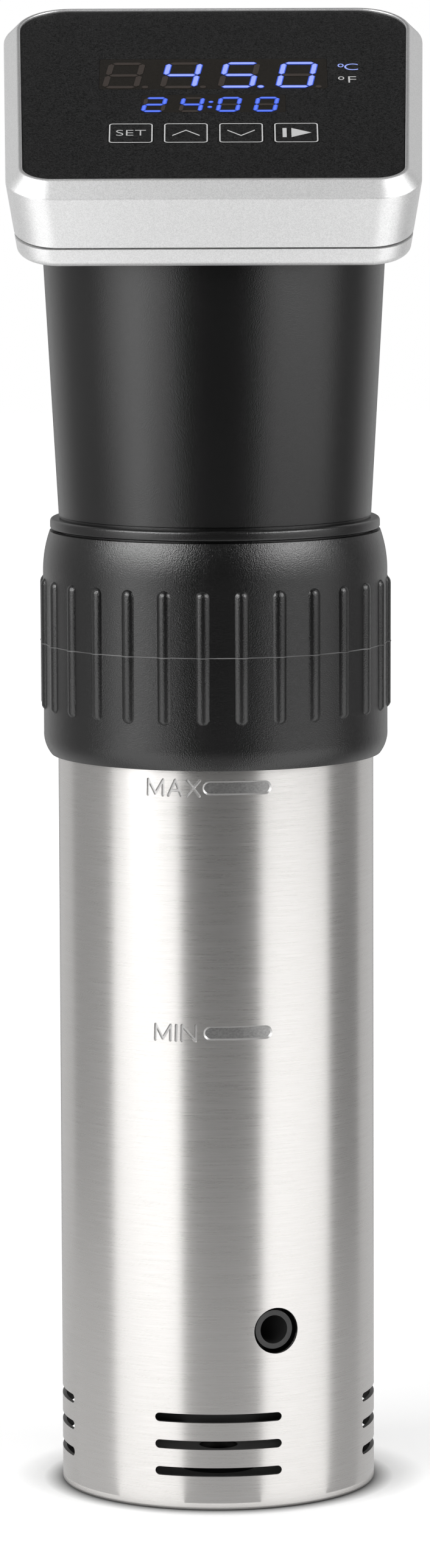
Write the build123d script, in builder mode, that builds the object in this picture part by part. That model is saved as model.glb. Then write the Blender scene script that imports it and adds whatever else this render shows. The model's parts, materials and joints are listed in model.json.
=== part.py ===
"""Sous vide circulator: a steel sleeve on the table, a drive unit that lifts out of it, a locking ring,
four panel keys and one spinning shaft.

Millimetres, +Z up, the sleeve's axis on Z and its foot at Z 0. The control panel faces -Y.
"""

from build123d import *
import math
import os

os.makedirs("parts", exist_ok=True)

ON_BASE = (Align.CENTER, Align.CENTER, Align.MIN)
ON_TOP = (Align.CENTER, Align.CENTER, Align.MAX)

# Fits between pieces
RUN_FIT = 0.05  # radial gap of a shaft in its bearing
PUSH_FIT = 0.02  # radial gap of a piece pressed on a shaft
SLIP = 0.1  # gap of a piece dropped into a pocket
CLEAR = 0.3  # gap of faces that move past each other

# Steel sleeve
SLEEVE_R = 32.0
SLEEVE_WALL = 0.8
SLEEVE_HEIGHT = 176.0
FOOT_LIP = 3.0  # inward lip that carries the base plate
FOOT_ROUND = 0.7
SLOT_GROUPS = 4
SLOT_ROWS = 3
SLOT_LOW_Z = 7.9
SLOT_PITCH = 5.5
SLOT_HEIGHT = 1.8
SLOT_SPAN = 25.5
MIN_MARK_Z = 97.5
MAX_MARK_Z = 146.9
MARK_X = 4.3
MARK_LENGTH = 14.0
MARK_HEIGHT = 2.8
MARK_DEPTH = 0.25
OUTLET_ANGLE = -68.4  # about Z from +X, a little right of the front
OUTLET_Z = 36.5
OUTLET_HOLE_R = 4.7
BASE_PLATE_T = 1.5
BASE_HOLES = 8
BASE_HOLE_R = 4.0
BASE_HOLE_RING_R = 19.0

# Grip ring, over the sleeve's top
RING_OVERLAP = 25.5  # how far it reaches down over the sleeve
RING_HEIGHT = 45.3
RING_T = 2.9  # how far it stands out from the sleeve
RING_END_T = 1.5  # the same at its two ends
RING_SHOULDER = 8.4
RING_FOOT_ROUND = 4.6
RIB_COUNT = 28
RIB_PROUD = 0.75
RIB_WIDTH = 3.0
RIB_ROUND = 0.55
RIB_FOOT_GAP = 8.9
RIB_TOP_GAP = 9.0
RIB_START = -94.2  # angle of the rib beside the front
GASKET_RISE = 3.7
GASKET_H = 3.0
GASKET_T = 1.5

# Neck, over the ring
NECK_WALL = 2.2
NECK_SETBACK = 0.4  # how far its foot stands back from the sleeve
NECK_DRAFT = 3.15  # degrees per side
SPIGOT_DEPTH = 15.0
SPIGOT_WALL = 2.0
BEAD_RISE = 9.0
BEAD_H = 2.0
BEAD_T = 1.2
FLANGE_SETBACK = 0.1  # how far it stands back from the ring's top
FLANGE_GAP = 0.4
FLANGE_H = 2.2
LEDGE_RISE = 27.0
LEDGE_H = 2.5
LEDGE_WIDTH = 3.5
CAP_FLANGE_T = 3.0
CAP_WELL_MARGIN = 7.6
NECK_SCREW_MARGIN = 7.0
NECK_SCREW_RISES = (13.0, 49.0)
NECK_SCREW_SEAT_Y = 12.0
SCREW_BOSS_R = 4.2

# Head, in a frame tilted to the panel
HEAD_TILT = 22.0
HEAD_Y = -6.25
HEAD_RISE = 85.87  # height of its frame over the neck's flange
PANEL_FRONT_W = 74.3
PANEL_BACK_W = 79.6
PANEL_DEPTH = 84.0
FRONT_CORNER_R = 5.5
BACK_CORNER_R = 10.5
RIM_LIP = 0.7
RIM_GROW = 3.4
CHAMFER_DROP = 2.95
HEAD_DRAFT = 8.0
PARTING_DROP = 14.2
PARTING_GAP = 0.3
PARTING_DEPTH = 0.6
HEAD_DROP = 18.9
HEAD_WALL = 2.4
HEAD_FLOOR = 2.0
HEAD_EDGE_R = 1.8
PANEL_SINK = 0.4
PANEL_T = 1.5
PANEL_LEDGE_W = 3.0
PANEL_LEDGE_T = 2.0
COLLAR_DROP = 0.6
COLLAR_WALL = 1.2
BOSS_R = 4.0
BOSS_STEM_R = 2.6
BOSS_MARGIN_FRONT = 5.0
BOSS_MARGIN_BACK = 7.4

# Panel parts
KEY_NAMES = ("key_set", "key_up", "key_down", "key_start")
KEY_PITCH = 10.9
KEY_W = 8.85
KEY_D = 9.45
KEY_CORNER_R = 0.8
KEY_Y = -19.6
KEY_GAP = 0.12
KEY_STEM_R = 1.5
KEY_TRAVEL = 0.3
TEMP_W = 45.9
TEMP_D = 15.2
TEMP_Y = 9.65
TIMER_W = 28.9
TIMER_D = 8.8
TIMER_Y = -5.1
BOARD_T = 1.6
BOARD_DROP = 5.0  # depth of the board's upper face below the rim
LED_GAP = 0.3
SWITCH_SIZE = 6.0
SWITCH_H = 1.4
BUZZER_R = 6.0
BUZZER_H = 5.0
BUZZER_Y = 22.0

# Screws
SCREW_R = 1.25
SCREW_HOLE_R = 1.3
SCREW_HEAD_R = 2.4
SCREW_HEAD_H = 1.6
HEAD_SCREW_GRIP = 7.0
CAP_SCREW_OFFSET = 6.0  # from the edge of the well
CAP_SCREW_LENGTH = 4.6
SCREW_TIP_GAP = 3.0

# Bulkhead between the wet and the dry side
BULKHEAD_T = 8.0
SEAL_H = 2.4
SEAL_T = 1.5
BULKHEAD_SCREW_SHARE = 0.848  # of the spigot's radius
BULKHEAD_SCREW_ANGLES = (65.0, 115.0, 245.0, 295.0)
BULKHEAD_SCREW_BOSS_R = 3.4
BULKHEAD_SCREW_BOSS_H = 12.0
SHAFT_SEAL_R = 6.0
SHAFT_SEAL_H = 6.0

# Motor and shaft
SHAFT_R = 2.5
SHAFT_END = 2.0  # length beyond the fan
MOUNT_T = 3.0
MOTOR_H = 40.0
MOTOR_WALL = 1.0
MOTOR_FLOOR = 1.5
BELL_T = 3.0
BELL_HUB_R = 9.0
BEARING_R = 6.5
BEARING_H = 4.0
ROTOR_R = 9.0
ROTOR_H = 25.0
AIR_GAP = 0.6
STATOR_H = 27.0
MOTOR_SCREW_MARGIN = 2.1
MOTOR_SCREW_HEAD_R = 2.0
FAN_R = 16.0
FAN_HUB_R = 5.0
FAN_H = 8.0
FAN_GAP = 5.0
FAN_BLADES = 7
BLADE_T = 1.2
COUPLING_R = 5.5
COUPLING_H = 14.0
COUPLING_GAP = 4.0

# Control electronics in the neck
DECK_T = 2.0
DECK_GAP = 1.2
BOARD_MARGIN = 1.7
RELAY = (15.0, 19.0, 15.0)
RELAY_AT = (-11.5, 6.0)
TRANSFORMER = (21.0, 18.0, 17.0)
TRANSFORMER_AT = (8.5, 6.0)
CAPACITOR_R = 5.0
CAPACITOR_H = 18.0
CAPACITOR_AT = (-8.0, -13.0)
SINK = (20.0, 8.0, 14.0)
SINK_AT = (8.0, -14.0)
SINK_FINS = 5
FIN_T = 1.4
SINK_FOOT = 3.0
TERMINALS = (16.0, 7.0, 9.0)
TERMINALS_AT = (0.0, 22.0)
INLET_RISE = 53.0
INLET_R = 7.0
INLET_BORE_R = 3.6
INLET_PROUD = 3.0
INLET_FLANGE_R = 9.0
INLET_FLANGE_T = 2.0
INLET_DEPTH = 8.0

# Wet end
HEATER_X_SHARE = 0.712  # of the spigot's radius, as for the pieces beside it
HEATER_Y_SHARE = 0.388
HEATER_R = 3.5
HEATER_BEND_Z = 70.0
TERMINAL_R = 1.5
TERMINAL_H = 8.0
PROBE_R = 2.5
PROBE_SHARE = 0.777
PROBE_LENGTH = 77.0
LEVEL_ROD_R = 1.5
LEVEL_ROD_X = 4.5
LEVEL_ROD_SHARE = 0.809
ROD_R = 2.2
ROD_SHARE = 0.841
PUMP_TOP_Z = 48.0
PUMP_PLATE_SHARE = 0.922
PUMP_PLATE_T = 3.0
PUMP_R = 20.0
PUMP_BORE_R = 16.0
PUMP_LOW_Z = 28.0
COVER_R = 22.5
COVER_T = 3.0
INTAKE_R = 8.0
SKIRT_LOW_Z = 12.5
SKIRT_WALL = 1.5
PUMP_SCREW_RING_R = 18.0
PUMP_SCREW_LENGTH = 7.0
GUIDE_R = 5.0
GUIDE_FLANGE_R = 7.0
GUIDE_FLANGE_T = 1.5
GUIDE_DROP = 1.5
IMPELLER_R = 14.0
IMPELLER_HUB_R = 4.5
IMPELLER_DISC_T = 2.0
IMPELLER_H = 11.0
IMPELLER_GAP = 1.4
IMPELLER_BLADES = 6
NOZZLE_R = 3.95
NOZZLE_BORE_R = 2.9
NOZZLE_SETBACK = 1.5  # tip behind the sleeve's outer face
NOZZLE_FLANGE_R = 5.5
NOZZLE_FLANGE_T = 1.6

# Radii and heights worked out from the sizes above
SLEEVE_BORE_R = SLEEVE_R - SLEEVE_WALL
SPIGOT_R = SLEEVE_BORE_R - CLEAR
SPIGOT_BORE_R = SPIGOT_R - SPIGOT_WALL
SPIGOT_LOW_Z = SLEEVE_HEIGHT - SPIGOT_DEPTH
RING_BORE_R = SLEEVE_R + CLEAR
RING_R = SLEEVE_R + RING_T
RING_END_R = SLEEVE_R + RING_END_T
RING_LOW_Z = SLEEVE_HEIGHT - RING_OVERLAP
RING_HIGH_Z = RING_LOW_Z + RING_HEIGHT
RIB_R = RING_R + RIB_PROUD
RIB_LOW_Z = RING_LOW_Z + RIB_FOOT_GAP
RIB_HIGH_Z = RING_HIGH_Z - RIB_TOP_GAP
GASKET_Z = RING_LOW_Z + GASKET_RISE
NECK_FOOT_R = SLEEVE_R - NECK_SETBACK
BEAD_Z = SLEEVE_HEIGHT + BEAD_RISE
FLANGE_R = RING_END_R - FLANGE_SETBACK
FLANGE_LOW_Z = RING_HIGH_Z + FLANGE_GAP
FLANGE_HIGH_Z = FLANGE_LOW_Z + FLANGE_H
LEDGE_Z = FLANGE_HIGH_Z + LEDGE_RISE
CAP_WELL_R = NECK_FOOT_R - CAP_WELL_MARGIN
CAP_SCREW_X = (CAP_WELL_R + CAP_SCREW_OFFSET) / math.sqrt(2)
NECK_SCREW_X = NECK_FOOT_R - NECK_SCREW_MARGIN
HEAD_Z = FLANGE_HIGH_Z + HEAD_RISE
INLET_Z = FLANGE_HIGH_Z + INLET_RISE
BULKHEAD_SCREW_RING_R = SPIGOT_R * BULKHEAD_SCREW_SHARE
MOUNT_R = BULKHEAD_SCREW_RING_R - BULKHEAD_SCREW_BOSS_R - CLEAR
MOTOR_SCREW_RING_R = MOUNT_R - MOTOR_SCREW_MARGIN
MOTOR_R = MOTOR_SCREW_RING_R - MOTOR_SCREW_HEAD_R - CLEAR
HEATER_X = SPIGOT_R * HEATER_X_SHARE
HEATER_Y = SPIGOT_R * HEATER_Y_SHARE
PROBE_Y = -SPIGOT_R * PROBE_SHARE
LEVEL_ROD_Y = SPIGOT_R * LEVEL_ROD_SHARE
ROD_RING_R = SPIGOT_R * ROD_SHARE
PUMP_PLATE_R = SPIGOT_R * PUMP_PLATE_SHARE
BULKHEAD_LOW_Z = SPIGOT_LOW_Z - BULKHEAD_T
MOTOR_LOW_Z = SPIGOT_LOW_Z + MOUNT_T
MOTOR_HIGH_Z = MOTOR_LOW_Z + MOTOR_H
MOTOR_MID_Z = MOTOR_LOW_Z + MOTOR_H / 2
FAN_LOW_Z = MOTOR_HIGH_Z + BELL_T + FAN_GAP
SHAFT_TOP_Z = FAN_LOW_Z + FAN_H + SHAFT_END
COUPLING_HIGH_Z = BULKHEAD_LOW_Z - COUPLING_GAP
COUPLING_LOW_Z = COUPLING_HIGH_Z - COUPLING_H
SHAFT_JOIN_Z = (COUPLING_HIGH_Z + COUPLING_LOW_Z) / 2
DECK_TOP_Z = LEDGE_Z + DECK_T
BOARD_TOP_Z = DECK_TOP_Z + BOARD_T
COVER_LOW_Z = PUMP_LOW_Z - COVER_T
IMPELLER_HIGH_Z = PUMP_TOP_Z - PUMP_PLATE_T - GUIDE_DROP - IMPELLER_GAP
IMPELLER_LOW_Z = IMPELLER_HIGH_Z - IMPELLER_H
NECK_TOP_Z = HEAD_Z + PANEL_DEPTH / 2

TILT = math.radians(HEAD_TILT)
HEAD_PLANE = Plane(
    origin=(0, HEAD_Y, HEAD_Z),
    x_dir=(1, 0, 0),
    z_dir=(0, -math.sin(TILT), math.cos(TILT)),
)
HEAD_AXIS = Axis(HEAD_PLANE.origin, HEAD_PLANE.z_dir)


def neck_radius(z):
    """Outer radius of the neck's cone at a height."""
    return NECK_FOOT_R + (z - FLANGE_HIGH_Z) * math.tan(math.radians(NECK_DRAFT))


def wall_grow(drop):
    """How far the head's drafted side wall stands outside the panel's outline, at a depth below the rim."""
    return RIM_GROW - (drop - CHAMFER_DROP) * math.tan(math.radians(HEAD_DRAFT))


def head_outline(drop, grow):
    """The head's outline, a trapezoid with round corners, at a depth below the rim."""
    front = PANEL_FRONT_W / 2 + grow
    back = PANEL_BACK_W / 2 + grow
    half = PANEL_DEPTH / 2 + grow
    with BuildSketch(HEAD_PLANE.offset(-drop)) as outline:
        with BuildLine():
            Polyline((-front, -half), (front, -half), (back, half), (-back, half), close=True)
        make_face()
        fillet(outline.vertices().group_by(Axis.Y)[0], FRONT_CORNER_R + grow)
        fillet(outline.vertices().group_by(Axis.Y)[-1], BACK_CORNER_R + grow)
    return outline.sketch


def window(drop, width, depth, y, corner, x=0.0):
    """A round-cornered rectangle in the head's frame, at a depth below the rim."""
    with BuildSketch(HEAD_PLANE.offset(-drop)) as outline:
        with Locations((x, y)):
            RectangleRounded(width, depth, corner)
    return outline.sketch


def radial_plane(angle, radius, z):
    """A plane that faces straight out from the Z axis."""
    turn = math.radians(angle)
    return Plane(
        origin=(radius * math.cos(turn), radius * math.sin(turn), z),
        x_dir=(-math.sin(turn), math.cos(turn), 0),
        z_dir=(math.cos(turn), math.sin(turn), 0),
    )


def polar(radius, angle):
    """X and Y of a point at a radius and an angle about Z."""
    return (radius * math.cos(math.radians(angle)), radius * math.sin(math.radians(angle)))


# Places that more than one piece uses
DECK_R = neck_radius(LEDGE_Z) - NECK_WALL - DECK_GAP
POWER_BOARD_R = DECK_R - BOARD_MARGIN
KEY_HOLE_W = KEY_W + 2 * KEY_GAP
KEY_HOLE_D = KEY_D + 2 * KEY_GAP
KEY_XS = [KEY_PITCH * (place - (len(KEY_NAMES) - 1) / 2) for place in range(len(KEY_NAMES))]
BOSS_FRONT = (PANEL_FRONT_W / 2 - BOSS_MARGIN_FRONT, PANEL_DEPTH / 2 - BOSS_MARGIN_FRONT)
BOSS_BACK = (PANEL_BACK_W / 2 - BOSS_MARGIN_BACK, PANEL_DEPTH / 2 - BOSS_MARGIN_BACK)
HEAD_BOSSES = [
    (-BOSS_FRONT[0], -BOSS_FRONT[1]),
    (BOSS_FRONT[0], -BOSS_FRONT[1]),
    (-BOSS_BACK[0], BOSS_BACK[1]),
    (BOSS_BACK[0], BOSS_BACK[1]),
]
CAP_SCREWS = [(x, y) for x in (-CAP_SCREW_X, CAP_SCREW_X) for y in (-CAP_SCREW_X, CAP_SCREW_X)]
NECK_SCREWS = [(x, FLANGE_HIGH_Z + rise) for x in (-NECK_SCREW_X, NECK_SCREW_X) for rise in NECK_SCREW_RISES]
BULKHEAD_SCREWS = [polar(BULKHEAD_SCREW_RING_R, angle) for angle in BULKHEAD_SCREW_ANGLES]
HEATER_ENDS = [(x, y) for x in (-HEATER_X, HEATER_X) for y in (-HEATER_Y, HEATER_Y)]

# Steel sleeve: thin tube with a lip at its foot, slots, the outlet hole and two stamped level marks
with BuildPart() as mark_recess:
    for mark_z in (MIN_MARK_Z, MAX_MARK_Z):
        with BuildSketch(Plane.XZ.offset(SLEEVE_R + CLEAR)):
            with Locations((MARK_X, mark_z)):
                SlotOverall(MARK_LENGTH, MARK_HEIGHT)
        extrude(amount=-SLEEVE_R / 2)
    Cylinder(SLEEVE_R - MARK_DEPTH, SLEEVE_HEIGHT, align=ON_BASE, mode=Mode.SUBTRACT)

with BuildPart() as steel_sleeve:
    with BuildSketch(Plane.XZ) as sleeve_profile:
        with BuildLine():
            Polyline(
                (SLEEVE_BORE_R - FOOT_LIP, 0),
                (SLEEVE_R, 0),
                (SLEEVE_R, SLEEVE_HEIGHT),
                (SLEEVE_BORE_R, SLEEVE_HEIGHT),
                (SLEEVE_BORE_R, SLEEVE_WALL),
                (SLEEVE_BORE_R - FOOT_LIP, SLEEVE_WALL),
                close=True,
            )
        make_face()
        fillet(sleeve_profile.vertices().group_by(Axis.Y)[0].sort_by(Axis.X)[-1], FOOT_ROUND)
    revolve(axis=Axis.Z)
    for group in range(SLOT_GROUPS):
        for row in range(SLOT_ROWS):
            slot_z = SLOT_LOW_Z + row * SLOT_PITCH
            with BuildSketch(radial_plane(group * 360 / SLOT_GROUPS, SLEEVE_R + CLEAR, slot_z)):
                SlotOverall(SLOT_SPAN, SLOT_HEIGHT)
            extrude(amount=-SLEEVE_R / 4, mode=Mode.SUBTRACT)
    with BuildSketch(radial_plane(OUTLET_ANGLE, SLEEVE_R + CLEAR, OUTLET_Z)):
        Circle(OUTLET_HOLE_R)
    extrude(amount=-SLEEVE_R / 4, mode=Mode.SUBTRACT)
    add(mark_recess.part, mode=Mode.SUBTRACT)

# Base plate: holed disc that lies on the sleeve's lip
with BuildPart() as base_plate:
    with Locations((0, 0, SLEEVE_WALL)):
        Cylinder(SLEEVE_BORE_R - SLIP, BASE_PLATE_T, align=ON_BASE)
    with Locations((0, 0, SLEEVE_WALL + BASE_PLATE_T)):
        with PolarLocations(BASE_HOLE_RING_R, BASE_HOLES):
            Hole(BASE_HOLE_R)
        Hole(INTAKE_R)

# Grip ring: rounded band with ribs, a groove for the neck's bead and one for its gasket
with BuildPart() as grip_rib:
    with BuildSketch(radial_plane(RIB_START, RING_BORE_R + GASKET_T, (RIB_LOW_Z + RIB_HIGH_Z) / 2)):
        SlotOverall(RIB_HIGH_Z - RIB_LOW_Z, RIB_WIDTH, rotation=90)
    extrude(amount=RIB_R - RING_BORE_R - GASKET_T)
    fillet(grip_rib.faces().sort_by(Axis.Y)[0].edges(), RIB_ROUND)

with BuildPart() as grip_ring:
    with BuildSketch(Plane.XZ):
        with BuildLine():
            foot = Line((RING_BORE_R, RING_LOW_Z), (RING_END_R, RING_LOW_Z))
            low_round = ThreePointArc(
                foot @ 1,
                ((RING_END_R + 3 * RING_R) / 4, RING_LOW_Z + RING_FOOT_ROUND * 0.42),
                (RING_R, RING_LOW_Z + RING_FOOT_ROUND),
            )
            side = Line(low_round @ 1, (RING_R, RING_HIGH_Z - RING_SHOULDER))
            shoulder = ThreePointArc(
                side @ 1,
                ((RING_END_R + 3 * RING_R) / 4, RING_HIGH_Z - RING_SHOULDER * 0.48),
                (RING_END_R, RING_HIGH_Z),
            )
            Polyline(shoulder @ 1, (RING_BORE_R, RING_HIGH_Z), (RING_BORE_R, RING_LOW_Z))
        make_face()
    revolve(axis=Axis.Z)
    for rib in range(RIB_COUNT):
        with Locations(Location((0, 0, 0), (0, 0, rib * 360 / RIB_COUNT))):
            add(grip_rib.part)
    with Locations((0, 0, BEAD_Z - CLEAR)):
        Cylinder(SLEEVE_R + BEAD_T + CLEAR, BEAD_H + 2 * CLEAR, align=ON_BASE, mode=Mode.SUBTRACT)
    with Locations((0, 0, GASKET_Z)):
        Cylinder(RING_BORE_R + GASKET_T - CLEAR, GASKET_H, align=ON_BASE, mode=Mode.SUBTRACT)

# Ring gasket: rubber band in the grip ring that grips the sleeve
with BuildPart() as ring_gasket:
    with Locations((0, 0, GASKET_Z)):
        Cylinder(RING_BORE_R + GASKET_T - CLEAR - PUSH_FIT, GASKET_H, align=ON_BASE)
        Cylinder(SLEEVE_R + RUN_FIT, GASKET_H, align=ON_BASE, mode=Mode.SUBTRACT)

# Neck: drafted cone in two half shells, with a spigot, a bead that holds the ring and a flange over it
with BuildPart() as neck_cavity:
    with BuildSketch(Plane.XZ):
        with BuildLine():
            Polyline(
                (0, SPIGOT_LOW_Z),
                (SPIGOT_BORE_R, SPIGOT_LOW_Z),
                (SPIGOT_BORE_R, FLANGE_LOW_Z),
                (neck_radius(FLANGE_HIGH_Z) - NECK_WALL, FLANGE_HIGH_Z),
                (neck_radius(LEDGE_Z - LEDGE_H) - NECK_WALL, LEDGE_Z - LEDGE_H),
                (neck_radius(LEDGE_Z) - NECK_WALL - LEDGE_WIDTH, LEDGE_Z - LEDGE_H),
                (neck_radius(LEDGE_Z) - NECK_WALL - LEDGE_WIDTH, LEDGE_Z),
                (neck_radius(LEDGE_Z) - NECK_WALL, LEDGE_Z),
                (neck_radius(NECK_TOP_Z) - NECK_WALL, NECK_TOP_Z),
                (0, NECK_TOP_Z),
                close=True,
            )
        make_face()
    revolve(axis=Axis.Z)
    split(bisect_by=HEAD_PLANE.offset(-HEAD_DROP - CAP_FLANGE_T), keep=Keep.BOTTOM)
    with Locations((0, 0, LEDGE_Z)):
        Cylinder(CAP_WELL_R, NECK_TOP_Z - LEDGE_Z, align=ON_BASE)
    for screw_x, screw_z in NECK_SCREWS:
        with BuildSketch(Plane.XZ.offset(-SLEEVE_R)):
            with Locations((screw_x, screw_z)):
                Circle(SCREW_BOSS_R)
        extrude(amount=2 * SLEEVE_R, mode=Mode.SUBTRACT)
    for screw_x, screw_y in BULKHEAD_SCREWS:
        with Locations((screw_x, screw_y, SPIGOT_LOW_Z)):
            Cylinder(BULKHEAD_SCREW_BOSS_R, BULKHEAD_SCREW_BOSS_H, align=ON_BASE, mode=Mode.SUBTRACT)

with BuildPart() as neck_body:
    with BuildSketch(Plane.XZ):
        with BuildLine():
            Polyline(
                (0, SPIGOT_LOW_Z),
                (SPIGOT_R, SPIGOT_LOW_Z),
                (SPIGOT_R, SLEEVE_HEIGHT),
                (SLEEVE_R, SLEEVE_HEIGHT),
                (SLEEVE_R, BEAD_Z),
                (SLEEVE_R + BEAD_T, BEAD_Z),
                (SLEEVE_R + BEAD_T, BEAD_Z + BEAD_H),
                (SLEEVE_R, BEAD_Z + BEAD_H),
                (SLEEVE_R, FLANGE_LOW_Z),
                (FLANGE_R, FLANGE_LOW_Z),
                (FLANGE_R, FLANGE_HIGH_Z),
                (neck_radius(FLANGE_HIGH_Z), FLANGE_HIGH_Z),
                (neck_radius(NECK_TOP_Z), NECK_TOP_Z),
                (0, NECK_TOP_Z),
                close=True,
            )
        make_face()
    revolve(axis=Axis.Z)
    split(bisect_by=HEAD_PLANE.offset(-HEAD_DROP), keep=Keep.BOTTOM)
    add(neck_cavity.part, mode=Mode.SUBTRACT)
    for screw_x, screw_z in NECK_SCREWS:
        with BuildSketch(Plane.XZ.offset(NECK_SCREW_SEAT_Y)):
            with Locations((screw_x, screw_z)):
                Circle(SCREW_HOLE_R)
        extrude(amount=-2 * NECK_SCREW_SEAT_Y, mode=Mode.SUBTRACT)
        with BuildSketch(Plane.XZ.offset(-NECK_SCREW_SEAT_Y)):
            with Locations((screw_x, screw_z)):
                Circle(SCREW_HEAD_R + CLEAR)
        extrude(amount=-SLEEVE_R, mode=Mode.SUBTRACT)
    for screw_x, screw_y in BULKHEAD_SCREWS:
        with Locations((screw_x, screw_y, SPIGOT_LOW_Z)):
            Cylinder(SCREW_HOLE_R, BULKHEAD_SCREW_BOSS_H - SPIGOT_WALL, align=ON_BASE, mode=Mode.SUBTRACT)
    with BuildSketch(HEAD_PLANE.offset(-HEAD_DROP)):
        with Locations(*CAP_SCREWS):
            Circle(SCREW_HOLE_R)
    extrude(amount=-CAP_FLANGE_T, mode=Mode.SUBTRACT)
    with BuildSketch(Plane.XZ.offset(-SLEEVE_R + INLET_DEPTH)):
        with Locations((0, INLET_Z)):
            Circle(INLET_R)
    extrude(amount=-SLEEVE_R, mode=Mode.SUBTRACT)

with BuildPart() as neck_front_shell:
    add(neck_body.part)
    split(bisect_by=Plane.XZ, keep=Keep.TOP)

with BuildPart() as neck_rear_shell:
    add(neck_body.part)
    split(bisect_by=Plane.XZ, keep=Keep.BOTTOM)

with BuildPart() as neck_screws:
    for screw_x, screw_z in NECK_SCREWS:
        with BuildSketch(Plane.XZ.offset(-NECK_SCREW_SEAT_Y)):
            with Locations((screw_x, screw_z)):
                Circle(SCREW_HEAD_R)
        extrude(amount=-SCREW_HEAD_H)
        with BuildSketch(Plane.XZ.offset(-NECK_SCREW_SEAT_Y)):
            with Locations((screw_x, screw_z)):
                Circle(SCREW_R)
        extrude(amount=2 * NECK_SCREW_SEAT_Y - SLIP)

# Cord inlet: bush in the back of the neck, with an empty bore
with BuildPart() as cord_inlet:
    inlet_inside_y = neck_radius(INLET_Z) - INLET_DEPTH
    with BuildSketch(Plane.XZ.offset(-inlet_inside_y)):
        with Locations((0, INLET_Z)):
            Circle(INLET_R - RUN_FIT)
    extrude(amount=-INLET_DEPTH - INLET_PROUD)
    with BuildSketch(Plane.XZ.offset(-inlet_inside_y)):
        with Locations((0, INLET_Z)):
            Circle(INLET_FLANGE_R)
    extrude(amount=-INLET_FLANGE_T)
    with BuildSketch(Plane.XZ.offset(-inlet_inside_y)):
        with Locations((0, INLET_Z)):
            Circle(INLET_BORE_R)
    extrude(amount=-INLET_DEPTH - INLET_PROUD, mode=Mode.SUBTRACT)

# Head: bezel frame above the parting line, base pan below it
with BuildPart() as bezel_frame:
    loft([head_outline(0, RIM_LIP), head_outline(CHAMFER_DROP, RIM_GROW)], ruled=True)
    loft(
        [head_outline(CHAMFER_DROP, RIM_GROW), head_outline(PARTING_DROP, wall_grow(PARTING_DROP))],
        ruled=True,
    )
    bezel_ledge_low = PANEL_SINK + PANEL_T + PANEL_LEDGE_T
    bezel_inside = wall_grow(PARTING_DROP) - HEAD_WALL
    extrude(head_outline(0, 0), amount=-PANEL_SINK - PANEL_T, mode=Mode.SUBTRACT)
    extrude(head_outline(0, -PANEL_LEDGE_W), amount=-PARTING_DROP, mode=Mode.SUBTRACT)
    extrude(
        head_outline(PARTING_DROP, bezel_inside),
        amount=PARTING_DROP - bezel_ledge_low,
        mode=Mode.SUBTRACT,
    )
    with BuildSketch(HEAD_PLANE.offset(-bezel_ledge_low)):
        with Locations(*HEAD_BOSSES):
            Circle(BOSS_R)
    extrude(amount=bezel_ledge_low - BOARD_DROP)
    with BuildSketch(HEAD_PLANE.offset(-bezel_ledge_low)):
        with Locations(*HEAD_BOSSES):
            Circle(BOSS_STEM_R)
    extrude(amount=bezel_ledge_low - PARTING_DROP)
    with BuildSketch(HEAD_PLANE.offset(-PARTING_DROP)):
        with Locations(*HEAD_BOSSES):
            Circle(SCREW_HOLE_R)
    extrude(amount=HEAD_SCREW_GRIP, mode=Mode.SUBTRACT)

with BuildPart() as neck_socket:
    with BuildSketch(Plane.XZ):
        with BuildLine():
            Polyline(
                (neck_radius(LEDGE_Z) + SLIP, LEDGE_Z),
                (neck_radius(LEDGE_Z) + COLLAR_WALL, LEDGE_Z),
                (neck_radius(NECK_TOP_Z) + COLLAR_WALL, NECK_TOP_Z),
                (neck_radius(NECK_TOP_Z) + SLIP, NECK_TOP_Z),
                close=True,
            )
        make_face()
    revolve(axis=Axis.Z)
    split(bisect_by=HEAD_PLANE.offset(-HEAD_DROP), keep=Keep.BOTTOM)
    split(bisect_by=HEAD_PLANE.offset(-HEAD_DROP - COLLAR_DROP), keep=Keep.TOP)

with BuildPart() as head_base:
    loft(
        [
            head_outline(PARTING_DROP + PARTING_GAP, wall_grow(PARTING_DROP + PARTING_GAP)),
            head_outline(HEAD_DROP, wall_grow(HEAD_DROP)),
        ],
        ruled=True,
    )
    fillet(head_base.faces().sort_by(HEAD_AXIS)[0].edges(), HEAD_EDGE_R)
    extrude(
        head_outline(PARTING_DROP, wall_grow(PARTING_DROP) - PARTING_DEPTH),
        amount=-PARTING_GAP - PARTING_DEPTH,
    )
    extrude(
        head_outline(PARTING_DROP, bezel_inside),
        amount=HEAD_FLOOR - HEAD_DROP + PARTING_DROP,
        mode=Mode.SUBTRACT,
    )
    add(neck_socket.part)
    with BuildSketch(HEAD_PLANE.offset(-HEAD_DROP)):
        with Locations(*HEAD_BOSSES):
            Circle(BOSS_R)
    extrude(amount=HEAD_DROP - PARTING_DROP)
    with BuildSketch(HEAD_PLANE.offset(-HEAD_DROP)):
        Circle(CAP_WELL_R)
        with Locations(*HEAD_BOSSES, *CAP_SCREWS):
            Circle(SCREW_HOLE_R)
    extrude(amount=HEAD_DROP - PARTING_DROP, mode=Mode.SUBTRACT)
    with BuildSketch(HEAD_PLANE.offset(-HEAD_DROP)):
        with Locations(*HEAD_BOSSES):
            Circle(SCREW_HEAD_R + CLEAR)
    extrude(amount=SCREW_HEAD_H + SLIP, mode=Mode.SUBTRACT)

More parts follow.
